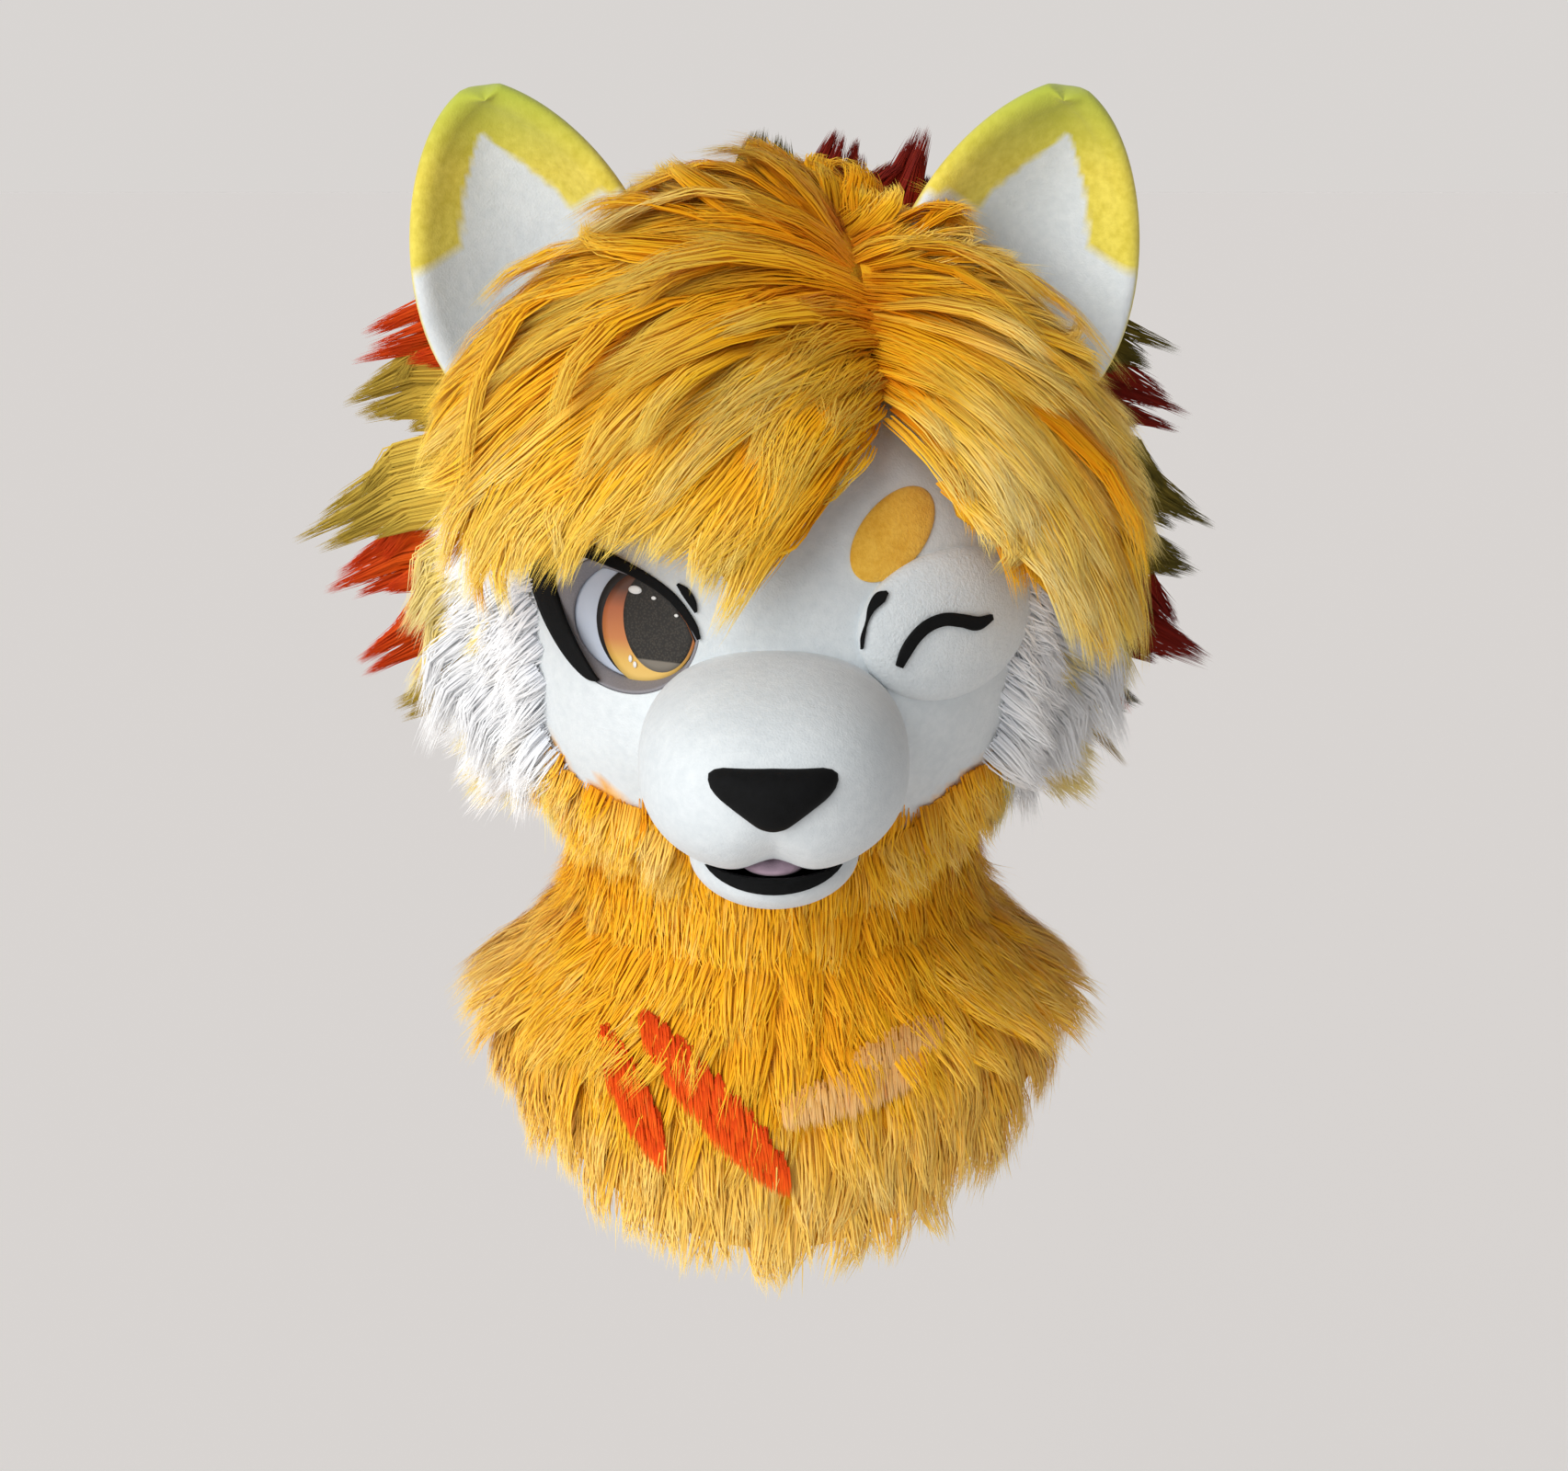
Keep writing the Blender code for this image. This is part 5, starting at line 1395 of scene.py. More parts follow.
@dataclass
class Hair:
    """The hair: a fan of guides that sweeps from the parting over the brow, the ears and the crown."""

    fur: bpy.types.Material
    base: bpy.types.Material
    parting: tuple[tuple[float, float, float], ...] = (
        (0.046, -0.086, -0.004), (0.046, -0.045, 0.040), (0.036, 0.010, 0.060),
    )
    guides: tuple[HairGuide, ...] = (
        HairGuide(0.00, 0.030, (0.020, -0.150, -0.058)),
        HairGuide(0.05, 0.036, (-0.004, -0.158, -0.088)),
        HairGuide(0.10, 0.042, (-0.032, -0.167, -0.131)),
        HairGuide(0.16, 0.045, (-0.054, -0.162, -0.102)),
        HairGuide(0.22, 0.048, (-0.084, -0.156, -0.099)),
        HairGuide(0.30, 0.050, (-0.112, -0.146, -0.112)),
        HairGuide(0.38, 0.052, (-0.147, -0.116, -0.143)),
        HairGuide(0.46, 0.054, (-0.170, -0.092, -0.140)),
        HairGuide(0.54, 0.056, (-0.189, -0.060, -0.096)),
        HairGuide(0.62, 0.058, (-0.180, -0.040, -0.045)),
        HairGuide(0.70, 0.062, (-0.128, -0.025, 0.012)),
        HairGuide(0.78, 0.066, (-0.112, -0.010, 0.040)),
        HairGuide(0.86, 0.070, (-0.095, 0.005, 0.062)),
        HairGuide(0.93, 0.070, (-0.062, 0.028, 0.080)),
        HairGuide(1.00, 0.066, (-0.020, 0.055, 0.075)),
        HairGuide(1.00, 0.060, (0.030, 0.062, 0.066)),
        HairGuide(1.00, 0.056, (0.075, 0.045, 0.062)),
        HairGuide(0.92, 0.054, (0.105, 0.000, 0.058)),
        HairGuide(0.82, 0.052, (0.128, -0.008, 0.040)),
        HairGuide(0.72, 0.050, (0.155, -0.020, 0.010)),
        HairGuide(0.62, 0.048, (0.186, -0.035, -0.045)),
        HairGuide(0.54, 0.048, (0.200, -0.050, -0.090)),
        HairGuide(0.46, 0.048, (0.197, -0.066, -0.125)),
        HairGuide(0.38, 0.048, (0.191, -0.078, -0.166)),
        HairGuide(0.30, 0.046, (0.175, -0.100, -0.186)),
        HairGuide(0.22, 0.044, (0.154, -0.122, -0.154)),
        HairGuide(0.12, 0.040, (0.127, -0.138, -0.116)),
        HairGuide(0.00, 0.034, (0.099, -0.148, -0.086)),
    )
    layers: tuple[tuple[float, float, int, float], ...] = (
        (0.00, 0.44, 48, 0.0165), (0.12, 0.58, 58, 0.0165), (0.26, 0.72, 64, 0.0175),
        (0.40, 0.86, 68, 0.0175), (0.54, 0.98, 72, 0.0165), (0.62, 1.00, 72, 0.0160),
    )
    under_share: float = 0.20
    crown_count: int = 60
    crown_half: float = 0.0105

    def sheet(self, s: np.ndarray, t: np.ndarray, lift: np.ndarray | float = 0.0) -> np.ndarray:
        """Points of the fan: s along the guides in order, t from the parting to the tips.

        Args:
            s: Guide numbers, fractions between two guides.
            t: Shares of the way.
            lift: How far over the fan.

        Returns:
            Points on the lifted fan.
        """
        centre = np.array(HEAD.centre)
        u = np.array([guide.parting for guide in self.guides])[:, None]
        a, b, c = (np.array(point) for point in self.parting)
        bend = 2 * b - (a + c) / 2
        root = a * (1 - u) ** 2 + 2 * bend * u * (1 - u) + c * u**2 - centre
        tip = np.array([guide.tip for guide in self.guides]) - centre
        rise = np.array([guide.rise for guide in self.guides])
        order = np.arange(len(self.guides))

        def along(table: np.ndarray) -> np.ndarray:
            if table.ndim == 1:
                return np.interp(s, order, table)
            return np.stack([np.interp(s, order, table[:, k]) for k in range(table.shape[1])], axis=1)

        start, end = along(root), along(tip)
        low = np.linalg.norm(start, axis=1) - HEAD.distance(start)
        high = along(rise)
        far = np.linalg.norm(end, axis=1) - HEAD.distance(end)
        first, last = unit(start), unit(end)
        angle = np.arccos(np.clip((first * last).sum(axis=1), -1, 1))
        sine = np.maximum(np.sin(angle), 1e-6)
        ways = first * (np.sin((1 - t) * angle) / sine)[:, None] + last * (np.sin(t * angle) / sine)[:, None]
        middle = 2 * high - (low + far) / 2
        over = low * (1 - t) ** 2 + middle * 2 * t * (1 - t) + far * t**2
        return HEAD.surface(ways, over + lift)

    def build_base(self) -> None:
        """The padded cap under the hair."""
        last = len(self.guides) - 1

        def place(u: np.ndarray, v: np.ndarray) -> np.ndarray:
            return self.sheet(u * last, v * 0.84, -0.0045 - 0.004 * v)

        cap = add_piece("hair_cap", mesh_from("hair_cap", sheet_mesh(112, 24, place)), self.base,
                        ["hair"])
        solidify(cap, 0.004)

    def tufts(self, rng: np.random.Generator) -> Tufts:
        """Lays the tufts in shingled layers over the fan.

        Args:
            rng: The seeded source of chance.

        Returns:
            The tufts.
        """
        last = len(self.guides) - 1
        rows = []
        for start, end, count, half_width in self.layers:
            s = (np.arange(count) + rng.uniform(0.05, 0.95, count)) / count * last
            under = rng.uniform(0, 1, count) < self.under_share
            t0 = np.clip(start + rng.normal(0, 0.03, count), 0, 1)
            short = 1 - 0.12 * np.abs(np.sin(math.pi * s)) * rng.uniform(0.4, 1.0, count)
            t2 = np.minimum(end + rng.normal(0, 0.05, count), 1.0) * short
            t1 = (t0 + t2) / 2
            slide = rng.normal(0, 0.36, count)
            lift = (0.001 + rng.uniform(0, 0.009, count)) * (t2 < 0.93)
            root = self.sheet(s, t0, -0.010)
            tip = self.sheet(np.clip(s + slide, 0, last), t2, np.where(under, -0.004, lift))
            sway = slide * 0.15 + rng.normal(0, 0.13, count)
            middle = self.sheet(np.clip(s + sway, 0, last), t1, np.where(under, -0.004, 0.001))
            drift = 0.09 * np.sin(1.7 * s + 4 * t1) + 0.07 * np.sin(0.9 * s - 6 * t1 + 1)
            tone = 0.50 + rng.normal(0, 0.09, count) + drift + 0.20 * smoothstep(s, 15, 20)
            tone = tone + 0.14 * smoothstep(t1, 0.55, 0.95) - 0.40 * (1 - smoothstep(t1, 0.08, 0.36))
            width = half_width * rng.uniform(0.7, 1.25, count)
            outward = unit(middle - np.array(HEAD.centre))
            # Under tufts take the darker tone 0.22: painted shade beneath the top layer.
            rows.append(Tufts(root, 2 * middle - (root + tip) / 2, tip, width, np.where(under, 0.22, tone), outward))
        rows.append(self.crown_tufts(rng))
        return Tufts.joined(rows)

    def crown_tufts(self, rng: np.random.Generator) -> Tufts:
        """Loose locks on the crown, which rise off the parting and fall over its sides.

        Args:
            rng: The seeded source of chance.

        Returns:
            The tufts.
        """
        last = len(self.guides) - 1
        count = self.crown_count
        s = np.concatenate([rng.uniform(4, 24, count // 2), rng.uniform(9.5, 18, count - count // 2)])
        start = rng.uniform(0.02, 0.45, count)
        reach = rng.uniform(0.30, 0.46, count)
        lift = rng.uniform(0.006, 0.020, count)
        slide = rng.normal(0, 0.9, count)
        root = self.sheet(s, start, -0.006)
        tip = self.sheet(np.clip(s + slide, 0, last), np.minimum(start + reach, 0.99), lift)
        middle = self.sheet(np.clip(s + 0.2 * slide, 0, last), start + 0.55 * reach, lift * 0.9)
        width = self.crown_half * rng.uniform(0.6, 1.3, count)
        tone = 0.48 + rng.normal(0, 0.12, count)
        outward = unit(middle - np.array(HEAD.centre))
        return Tufts(root, 2 * middle - (root + tip) / 2, tip, width, tone, outward)

    def build(self) -> None:
        """Builds the cap and the fur over it."""
        rng = np.random.default_rng(SEED)
        self.build_base()
        kind = StrandKind(
            per_tuft=88, half_width=0.00044, flatness=0.24, pinch=0.10, ragged=0.26, stray=0.0024, tone_spread=0.05,
            edge_shade=0.10, roundness=0.50,
        )
        add_fur("hair_fur", self.tufts(rng), kind, self.fur, ["hair"], parts=2)


@dataclass
class Mane:
    """The mane: pointed tufts in fire colours, with dark red and olive as painted shade, round the back of the head and
    in rows behind.
    """

    fur: bpy.types.Material
    base: bpy.types.Material
    # The last column is each big tuft's tone: dark red (0.34 to 0.36) and olive (0.86 to 0.88) are painted shade, laid
    # on the +x side and over the top.
    ring: tuple[
        tuple[tuple[float, float, float], tuple[float, float, float], tuple[float, float, float], float, float], ...
    ] = (
        ((-0.080, 0.080, -0.005), (-0.170, 0.085, 0.015), (-0.236, 0.058, -0.012), 0.024, 0.08),
        ((-0.098, 0.080, -0.045), (-0.190, 0.085, -0.020), (-0.246, 0.058, -0.047), 0.026, 0.62),
        ((-0.105, 0.080, -0.085), (-0.205, 0.085, -0.080), (-0.268, 0.058, -0.119), 0.025, 0.66),
        ((-0.108, 0.080, -0.120), (-0.200, 0.085, -0.115), (-0.260, 0.058, -0.146), 0.024, 0.08),
        ((-0.105, 0.080, -0.155), (-0.185, 0.085, -0.160), (-0.244, 0.058, -0.198), 0.025, 0.12),
        ((-0.100, 0.080, -0.180), (-0.165, 0.080, -0.195), (-0.222, 0.058, -0.220), 0.024, 0.62),
        ((0.080, 0.080, -0.005), (0.165, 0.085, 0.012), (0.224, 0.058, -0.022), 0.024, 0.88),
        ((0.098, 0.080, -0.045), (0.180, 0.085, -0.025), (0.231, 0.058, -0.052), 0.024, 0.36),
        ((0.105, 0.080, -0.085), (0.190, 0.085, -0.075), (0.246, 0.058, -0.111), 0.024, 0.86),
        ((0.108, 0.080, -0.120), (0.190, 0.085, -0.110), (0.246, 0.058, -0.137), 0.024, 0.88),
        ((0.105, 0.080, -0.155), (0.190, 0.085, -0.150), (0.254, 0.058, -0.190), 0.026, 0.36),
        ((0.100, 0.080, -0.180), (0.165, 0.080, -0.195), (0.217, 0.058, -0.220), 0.024, 0.86),
        ((-0.040, 0.085, -0.005), (-0.062, 0.095, 0.055), (-0.050, 0.078, 0.088), 0.024, 0.86),
        ((-0.008, 0.085, 0.000), (-0.014, 0.100, 0.070), (-0.004, 0.078, 0.110), 0.026, 0.88),
        ((0.028, 0.085, 0.000), (0.026, 0.100, 0.070), (0.042, 0.084, 0.108), 0.024, 0.36),
        ((0.055, 0.085, -0.005), (0.062, 0.100, 0.060), (0.082, 0.084, 0.108), 0.024, 0.34),
    )
    # In these tones too, 0.34 to 0.36 (dark red) and 0.86 to 0.90 (olive) are painted shade.
    fill_tones: tuple[float, ...] = (0.66, 0.86, 0.62, 0.88, 0.66)
    back_count: int = 250
    patch_tones: tuple[float, ...] = (0.36, 0.10, 0.64, 0.68, 0.90)

    def build_base(self) -> None:
        """The skin under the mane, coloured a darker brown than its fur: painted shade beneath the tufts."""
        bm = bmesh.new()
        bmesh.ops.create_uvsphere(bm, u_segments=56, v_segments=36, radius=1.0)
        set_verts(bm, HEAD.surface(verts_of(bm), 0.012))
        for point, outward in (((0, 0.045, 0), (0, -1, 0)), ((0, 0, -0.212), (0, 0, -1))):
            everything = bm.verts[:] + bm.edges[:] + bm.faces[:]
            bmesh.ops.bisect_plane(bm, geom=everything, plane_co=point, plane_no=outward, clear_outer=True)
        skin = add_piece("mane_skin", mesh_from("mane_skin", bm), self.base, ["mane"])
        solidify(skin, 0.004)

    def tufts(self, rng: np.random.Generator) -> Tufts:
        """Splits each big tuft into smaller ones that part towards its tip.

        Args:
            rng: The seeded source of chance.

        Returns:
            The tufts.
        """
        rows = []
        for root, knee, tip, half_width, tone in self.ring:
            eased = 0.5 * np.array(knee) + 0.25 * (np.array(root) + np.array(tip))
            rows.append(split_tuft((root, eased, tip), half_width, tone, (0, -1, 0), 9, rng, 0.55, 0.32))
        for path, tone in self.fill_paths():
            rows.append(split_tuft(path, 0.024, tone, (0, -1, 0), 8, rng, fan=0.8))
        rows.append(self.back_coat(rng))
        return Tufts.joined(rows)

    def fill_paths(self) -> list[tuple[list[tuple[float, float, float]], float]]:
        """The shorter tufts behind the ring, which close the gaps between its tips.

        Returns:
            Root, knee and tip of each, with its tone.
        """
        found = []
        for side in (-1, 1):
            for step in range(9):
                level = 0.006 - 0.027 * step
                reach = 0.202 + 0.012 * math.sin(2.1 * step)
                path = [(side * 0.085, 0.088, level - 0.008), (side * 0.148, 0.104, level + 0.008),
                        (side * reach, 0.088, level - 0.018)]
                found.append((path, self.fill_tones[step % 5]))
        for step in range(7):
            x = -0.09 + 0.03 * step
            path = [(0.7 * x, 0.088, 0.0), (0.9 * x, 0.108, 0.045), (x, 0.100, 0.078 + 0.008 * (step % 2))]
            found.append((path, self.fill_tones[(step + 2) % 5]))
        return found

    def back_coat(self, rng: np.random.Generator) -> Tufts:
        """A coat over the back of the head in broad patches of the fire colours and their painted-shade dark red and
        olive, swept back and down.

        Args:
            rng: The seeded source of chance.

        Returns:
            The tufts.
        """
        count = self.back_count
        turn = rng.uniform(-1.32, 1.32, count)
        level = 0.034 - 0.240 * (np.arange(count) + rng.uniform(0, 1, count)) / count
        level = np.where(np.abs(turn) > 0.9, np.maximum(level, -0.20), level)
        ways = np.stack([0.15 * np.sin(turn), 0.15 * np.cos(turn), level - HEAD.centre[2]], axis=1)
        root = HEAD.surface(ways, 0.010)
        outward = unit(root - np.array(HEAD.centre))
        sweep = np.stack([0.55 * np.sin(turn), np.full(count, 0.30), np.full(count, -0.80)], axis=1)
        flow = unit(sweep + rng.normal(0, 0.10, (count, 3)))
        length = rng.uniform(0.050, 0.066, count)
        raised = rng.uniform(0.020, 0.030, count)
        tip = root + flow * length[:, None] + outward * raised[:, None]
        bend = root + flow * (length * 0.35)[:, None] + outward * (raised * 1.1)[:, None]
        patch = np.sin(3.1 * turn + 1.3 * np.sin(38 * level)) + 0.8 * np.sin(34 * level + 1.7 * turn)
        tones = np.array(self.patch_tones)[np.clip(((patch + 1.8) / 3.6 * 5).astype(int), 0, 4)]
        return Tufts(root, bend, tip, np.full(count, 0.0145), tones + rng.normal(0, 0.01, count), outward)

    def build(self) -> None:
        """Builds the skin and the fur over it."""
        rng = np.random.default_rng(SEED + 1)
        self.build_base()
        kind = StrandKind(
            per_tuft=52, half_width=0.00084, flatness=0.4, pinch=0.14, ragged=0.14, stray=0.0010, points=4,
            tone_spread=0.02, roundness=0.6,
        )
        add_fur("mane_fur", self.tufts(rng), kind, self.fur, ["mane"], parts=1)


@dataclass
class Cheeks:
    """White fur in long spikes behind the face's edge, on both sides."""

    fur: bpy.types.Material
    locks: tuple[
        tuple[tuple[float, float, float], tuple[float, float, float], tuple[float, float, float], float, float], ...
    ] = (
        ((0.118, 0.045, -0.120), (0.180, 0.045, -0.135), (0.212, 0.040, -0.175), 0.020, 0.62),
        ((0.118, 0.030, -0.150), (0.175, 0.035, -0.165), (0.205, 0.028, -0.205), 0.020, 0.60),
        ((0.118, 0.010, -0.165), (0.170, 0.010, -0.180), (0.196, 0.000, -0.230), 0.020, 0.18),
        ((0.112, -0.010, -0.178), (0.150, -0.020, -0.200), (0.166, -0.022, -0.242), 0.018, 0.20),
        ((0.105, -0.025, -0.188), (0.128, -0.035, -0.215), (0.137, -0.034, -0.262), 0.018, 0.24),
        ((0.098, -0.036, -0.192), (0.116, -0.052, -0.225), (0.116, -0.044, -0.270), 0.013, 0.66),
    )
    cover: int = 230

    def tufts(self, side: int, rng: np.random.Generator) -> Tufts:
        """Lays the long locks and a coat of smaller tufts, swept back, out and down.

        Args:
            side: 1 for the wearer's left and -1 for the right.
            rng: The seeded source of chance.

        Returns:
            The tufts.
        """
        turned = np.array([side, 1, 1])
        rows = []
        for *path, half_width, tone in self.locks:
            points = [np.array(point) * turned for point in path]
            rows.append(split_tuft(points, half_width, tone, (0.7 * side, -1, 0.2), 9, rng))
        count = self.cover
        level = rng.uniform(-0.218, -0.085, count)
        depth = rng.uniform(-0.080, 0.055, count)
        ways = np.stack([np.full(count, 0.12 * side), depth, level - HEAD.centre[2]], axis=1)
        root = HEAD.surface(ways, -0.002)
        outward = unit(root - np.array(HEAD.centre))
        fall = unit(np.array([0.62 * side, 0.28, -0.70]) + rng.normal(0, 0.12, (count, 3)))
        behind = smoothstep(depth, -0.055, 0.03)
        length = 0.022 + 0.026 * behind + 0.010 * smoothstep(-level, 0.13, 0.215) + rng.normal(0, 0.004, count)
        raised = 0.003 + 0.019 * behind + rng.normal(0, 0.002, count)
        tip = root + fall * length[:, None] + outward * raised[:, None]
        bend = root + fall * (length * 0.35)[:, None] + outward * (raised * 0.95)[:, None]
        chance = (0.45 if side > 0 else 0.10) + 0.30 * (-level > 0.188)
        yellow = rng.uniform(0, 1, count) < chance * smoothstep(depth, -0.045, 0.0)
        tone = 0.24 + rng.normal(0, 0.04, count) + 0.36 * yellow
        shown = unit(outward + np.array([0, -0.6, 0]))
        rows.append(Tufts(root, bend, tip, np.full(count, 0.0115), np.clip(tone, 0.01, 0.99), shown))
        return Tufts.joined(rows)

    def build(self) -> None:
        """Builds the fur of both cheeks."""
        kind = StrandKind(
            per_tuft=48, half_width=0.00052, flatness=0.6, pinch=0.16, ragged=0.25, stray=0.0025, points=4,
            tone_spread=0.02, edge_shade=0.04, roundness=0.5,
        )
        for side, word in ((-1, "right"), (1, "left")):
            tufts = self.tufts(side, np.random.default_rng(SEED + 20 + side))
            add_fur(f"cheek_fur_coat_{word}", tufts, kind, self.fur, [f"cheek_fur_{word}"])


@dataclass(frozen=True)
class BibRing:
    """The bib's size at one level."""

    level: float
    half_width: float
    front: float
    back: float


@dataclass
class Bib:
    """The neck bib: a fur tube that flares over the shoulders to a notched hem."""

    fur: bpy.types.Material
    base: bpy.types.Material
    top: float = -0.2145
    wall: float = 0.013
    hem_front: float = -0.462
    hem_side: float = -0.362
    hem_back: float = -0.432
    hem_power: float = 2.0
    stripe_density: float = 1.6e6
    stripe_lift: float = 0.0170
    rings: tuple[BibRing, ...] = (
        BibRing(-0.2145, 0.1200, -0.118, 0.136), BibRing(-0.252, 0.0990, -0.092, 0.112),
        BibRing(-0.272, 0.097, -0.090, 0.112), BibRing(-0.300, 0.097, -0.092, 0.116),
        BibRing(-0.325, 0.118, -0.100, 0.126), BibRing(-0.350, 0.148, -0.109, 0.134),
        BibRing(-0.400, 0.154, -0.117, 0.138), BibRing(-0.475, 0.150, -0.120, 0.140),
    )

    def hem(self, angle: np.ndarray) -> np.ndarray:
        """The level of the hem at each angle from the front."""
        ends = np.where(np.cos(angle) > 0, self.hem_front, self.hem_back)
        return ends + (self.hem_side - ends) * np.abs(np.sin(angle)) ** self.hem_power

    def point(self, angle: np.ndarray, share: np.ndarray, lift: np.ndarray | float = 0.0) -> np.ndarray:
        """Points of the bib for angles from the front and shares from top to hem."""
        level = self.top + (self.hem(angle) - self.top) * share
        table = np.array([(r.level, r.half_width, r.front, r.back) for r in self.rings])
        order = -table[:, 0]
        half, front, back = (np.interp(-level, order, table[:, k]) for k in (1, 2, 3))
        middle = np.where(np.cos(angle) < 0, (front + back) / 2, HEAD.centre[1])
        reach = np.where(np.cos(angle) > 0, middle - front, back - middle)
        across = (half + lift) * np.sign(np.sin(angle)) * np.abs(np.sin(angle)) ** 0.94
        along = (reach + lift) * np.sign(np.cos(angle)) * np.abs(np.cos(angle)) ** 0.94
        return np.stack([across, middle - along, level], axis=1)

    def build_base(self) -> None:
        """The backing cloth: an open tube with a wall."""
        bm = tube_mesh(96, 26, lambda angle, share: self.point(angle, share, -0.004 + 0.0115 * smoothstep(share, 0.1, 0.3)))
        skin = add_piece("bib_backing", mesh_from("bib_backing", bm), self.base, ["neck_bib"])
        solidify(skin, 0.003)

    stripes: tuple[tuple[tuple[float, float], tuple[float, float], float, float], ...] = (
        ((-0.0790, -0.3520), (-0.0520, -0.4140), 0.0080, 0.78),
        ((-0.0600, -0.3430), (0.0060, -0.4240), 0.0100, 0.78),
        ((0.0040, -0.3860), (0.0700, -0.3640), 0.0080, 0.96),
        ((0.0360, -0.3640), (0.0780, -0.3480), 0.0060, 0.96),
    )

    def on_front(self, x: np.ndarray, z: np.ndarray, lift: float) -> np.ndarray:
        """Points of the bib's front for places across and levels."""
        table = np.array([(r.level, r.half_width) for r in self.rings])
        half = np.interp(-z, -table[:, 0], table[:, 1])
        angle = np.sign(x) * np.arcsin(np.clip((np.abs(x) / half) ** (1 / 0.94), 0, 1))
        return self.point(angle, (self.top - z) / (self.top - self.hem(angle)), lift)

    def stripe_strands(self, rng: np.random.Generator) -> list[dict[str, np.ndarray]]:
        """Short strands laid over the coat inside each stripe's outline, along the fur's own flow.

        Args:
            rng: The seeded source of chance.

        Returns:
            One set of strands for each stripe.
        """
        found = []
        for start, end, half, tone in self.stripes:
            start, end = np.array(start), np.array(end)
            length = float(np.linalg.norm(end - start))
            along = (end - start) / length
            count = int(length * half * self.stripe_density)
            t = rng.uniform(0, 1, count)
            room = half * (4 * t * (1 - t)) ** 0.55
            middle = start + (along * length) * t[:, None]
            flat = middle + np.array([-along[1], along[0]]) * (rng.uniform(-1, 1, count) * room)[:, None]
            reach = rng.uniform(0.004, 0.008, count)[:, None] * np.linspace(-1, 1, 4)
            x = flat[:, :1] + 0.10 * reach + rng.normal(0, 0.0006, (count, 1))
            z = flat[:, 1:] - reach
            lift = rng.uniform(self.stripe_lift - 0.0025, self.stripe_lift, count)
            places = [self.on_front(x[:, k], z[:, k], 0.0) for k in range(4)]
            outward = unit(np.stack([x[:, 1], places[1][:, 1] - HEAD.centre[1], np.zeros(count)], axis=1))
            paths = np.stack(places, axis=1) + outward[:, None] * lift[:, None, None]
            found.append({
                "paths": paths, "outward": outward, "width": rng.uniform(0.0003, 0.0006, count),
                "tone": np.clip(tone + rng.normal(0, 0.025, count), 0.01, 0.99),
            })
        return found

    def tufts(self, rng: np.random.Generator) -> Tufts:
        """Lays tufts in rows from the hem up, each falling over the one below.

        Args:
            rng: The seeded source of chance.

        Returns:
            The tufts.
        """
        rows, steps = 24, 46
        share, angle = np.meshgrid(
            (np.arange(rows) + 0.3) / rows * 0.93 + 0.03, (np.arange(steps) + 0.5) / steps * 2 * math.pi - math.pi
        )
        share, angle = share.reshape(-1), angle.reshape(-1)
        count = len(share)
        share = np.clip(share + rng.normal(0, 0.012, count), 0.005, 0.975)
        angle = angle + rng.uniform(-0.5, 0.5, count) * 2 * math.pi / steps
        angle = angle + (np.round(share * rows) % 2) * math.pi / steps
        root = self.point(angle, share, 0.004)
        ahead = self.point(angle, np.minimum(share + 0.02, 1.0), 0.004)
        centre = np.stack([np.zeros(count), np.full(count, 0.01), root[:, 2]], axis=1)
        outward = unit(root - centre)
        flow = unit(ahead - self.point(angle, np.maximum(share - 0.02, 0), 0.004))
        outward = unit(outward - flow * (outward * flow).sum(axis=1, keepdims=True))
        length = (0.044 + 0.006 * share) * (1 - 0.22 * smoothstep(share, 0.84, 0.97)) + rng.normal(0, 0.003, count)
        lean = rng.normal(0, 0.13, (count, 1)) * np.cross(flow, outward)
        tip = root + (flow + lean) * length[:, None] + outward * (0.004 + rng.normal(0, 0.002, count))[:, None]
        bend = root + flow * (length * 0.45)[:, None] + outward * 0.0135
        flare = 0.024 * np.abs(np.sin(angle)) ** 4 * np.exp(-(((share - 0.40) / 0.17) ** 2))
        tip = tip + outward * flare[:, None] + np.array([0, 0, 0.6]) * flare[:, None]
        pale = smoothstep(share, 0.45, 0.95) * 0.30
        tone = 0.26 + pale + rng.normal(0, 0.05, count) + 0.06 * np.sin(3 * angle + 9 * share)
        coat = Tufts(root, bend, tip, np.full(count, 0.0125), np.minimum(tone, 0.54), outward)
        return Tufts.joined([coat, self.collar_tufts(rng)])

    def collar_tufts(self, rng: np.random.Generator) -> Tufts:
        """Tufts on the head's lower edge, which climb beside the muzzle and cover the seam.

        Args:
            rng: The seeded source of chance.

        Returns:
            The tufts.
        """
        count = 150
        side = rng.choice((-1.0, 1.0), count)
        x = side * rng.uniform(0.050, 0.122, count)
        z = yellow_edge(x) + rng.uniform(-0.022, -0.001, count)
        root = HEAD.front(x, z, 0.001)
        outward = unit(root - np.array(HEAD.centre))
        flow = unit(np.stack([0.22 * side, np.zeros(count), -np.ones(count)], axis=1) + rng.normal(0, 0.08, (count, 3)))
        length = rng.uniform(0.016, 0.030, count)
        tip = root + flow * length[:, None] + outward * 0.002
        bend = root + flow * (length * 0.45)[:, None] + outward * 0.003
        tone = 0.40 + rng.normal(0, 0.08, count)
        return Tufts(root, bend, tip, np.full(count, 0.0095), tone, outward)

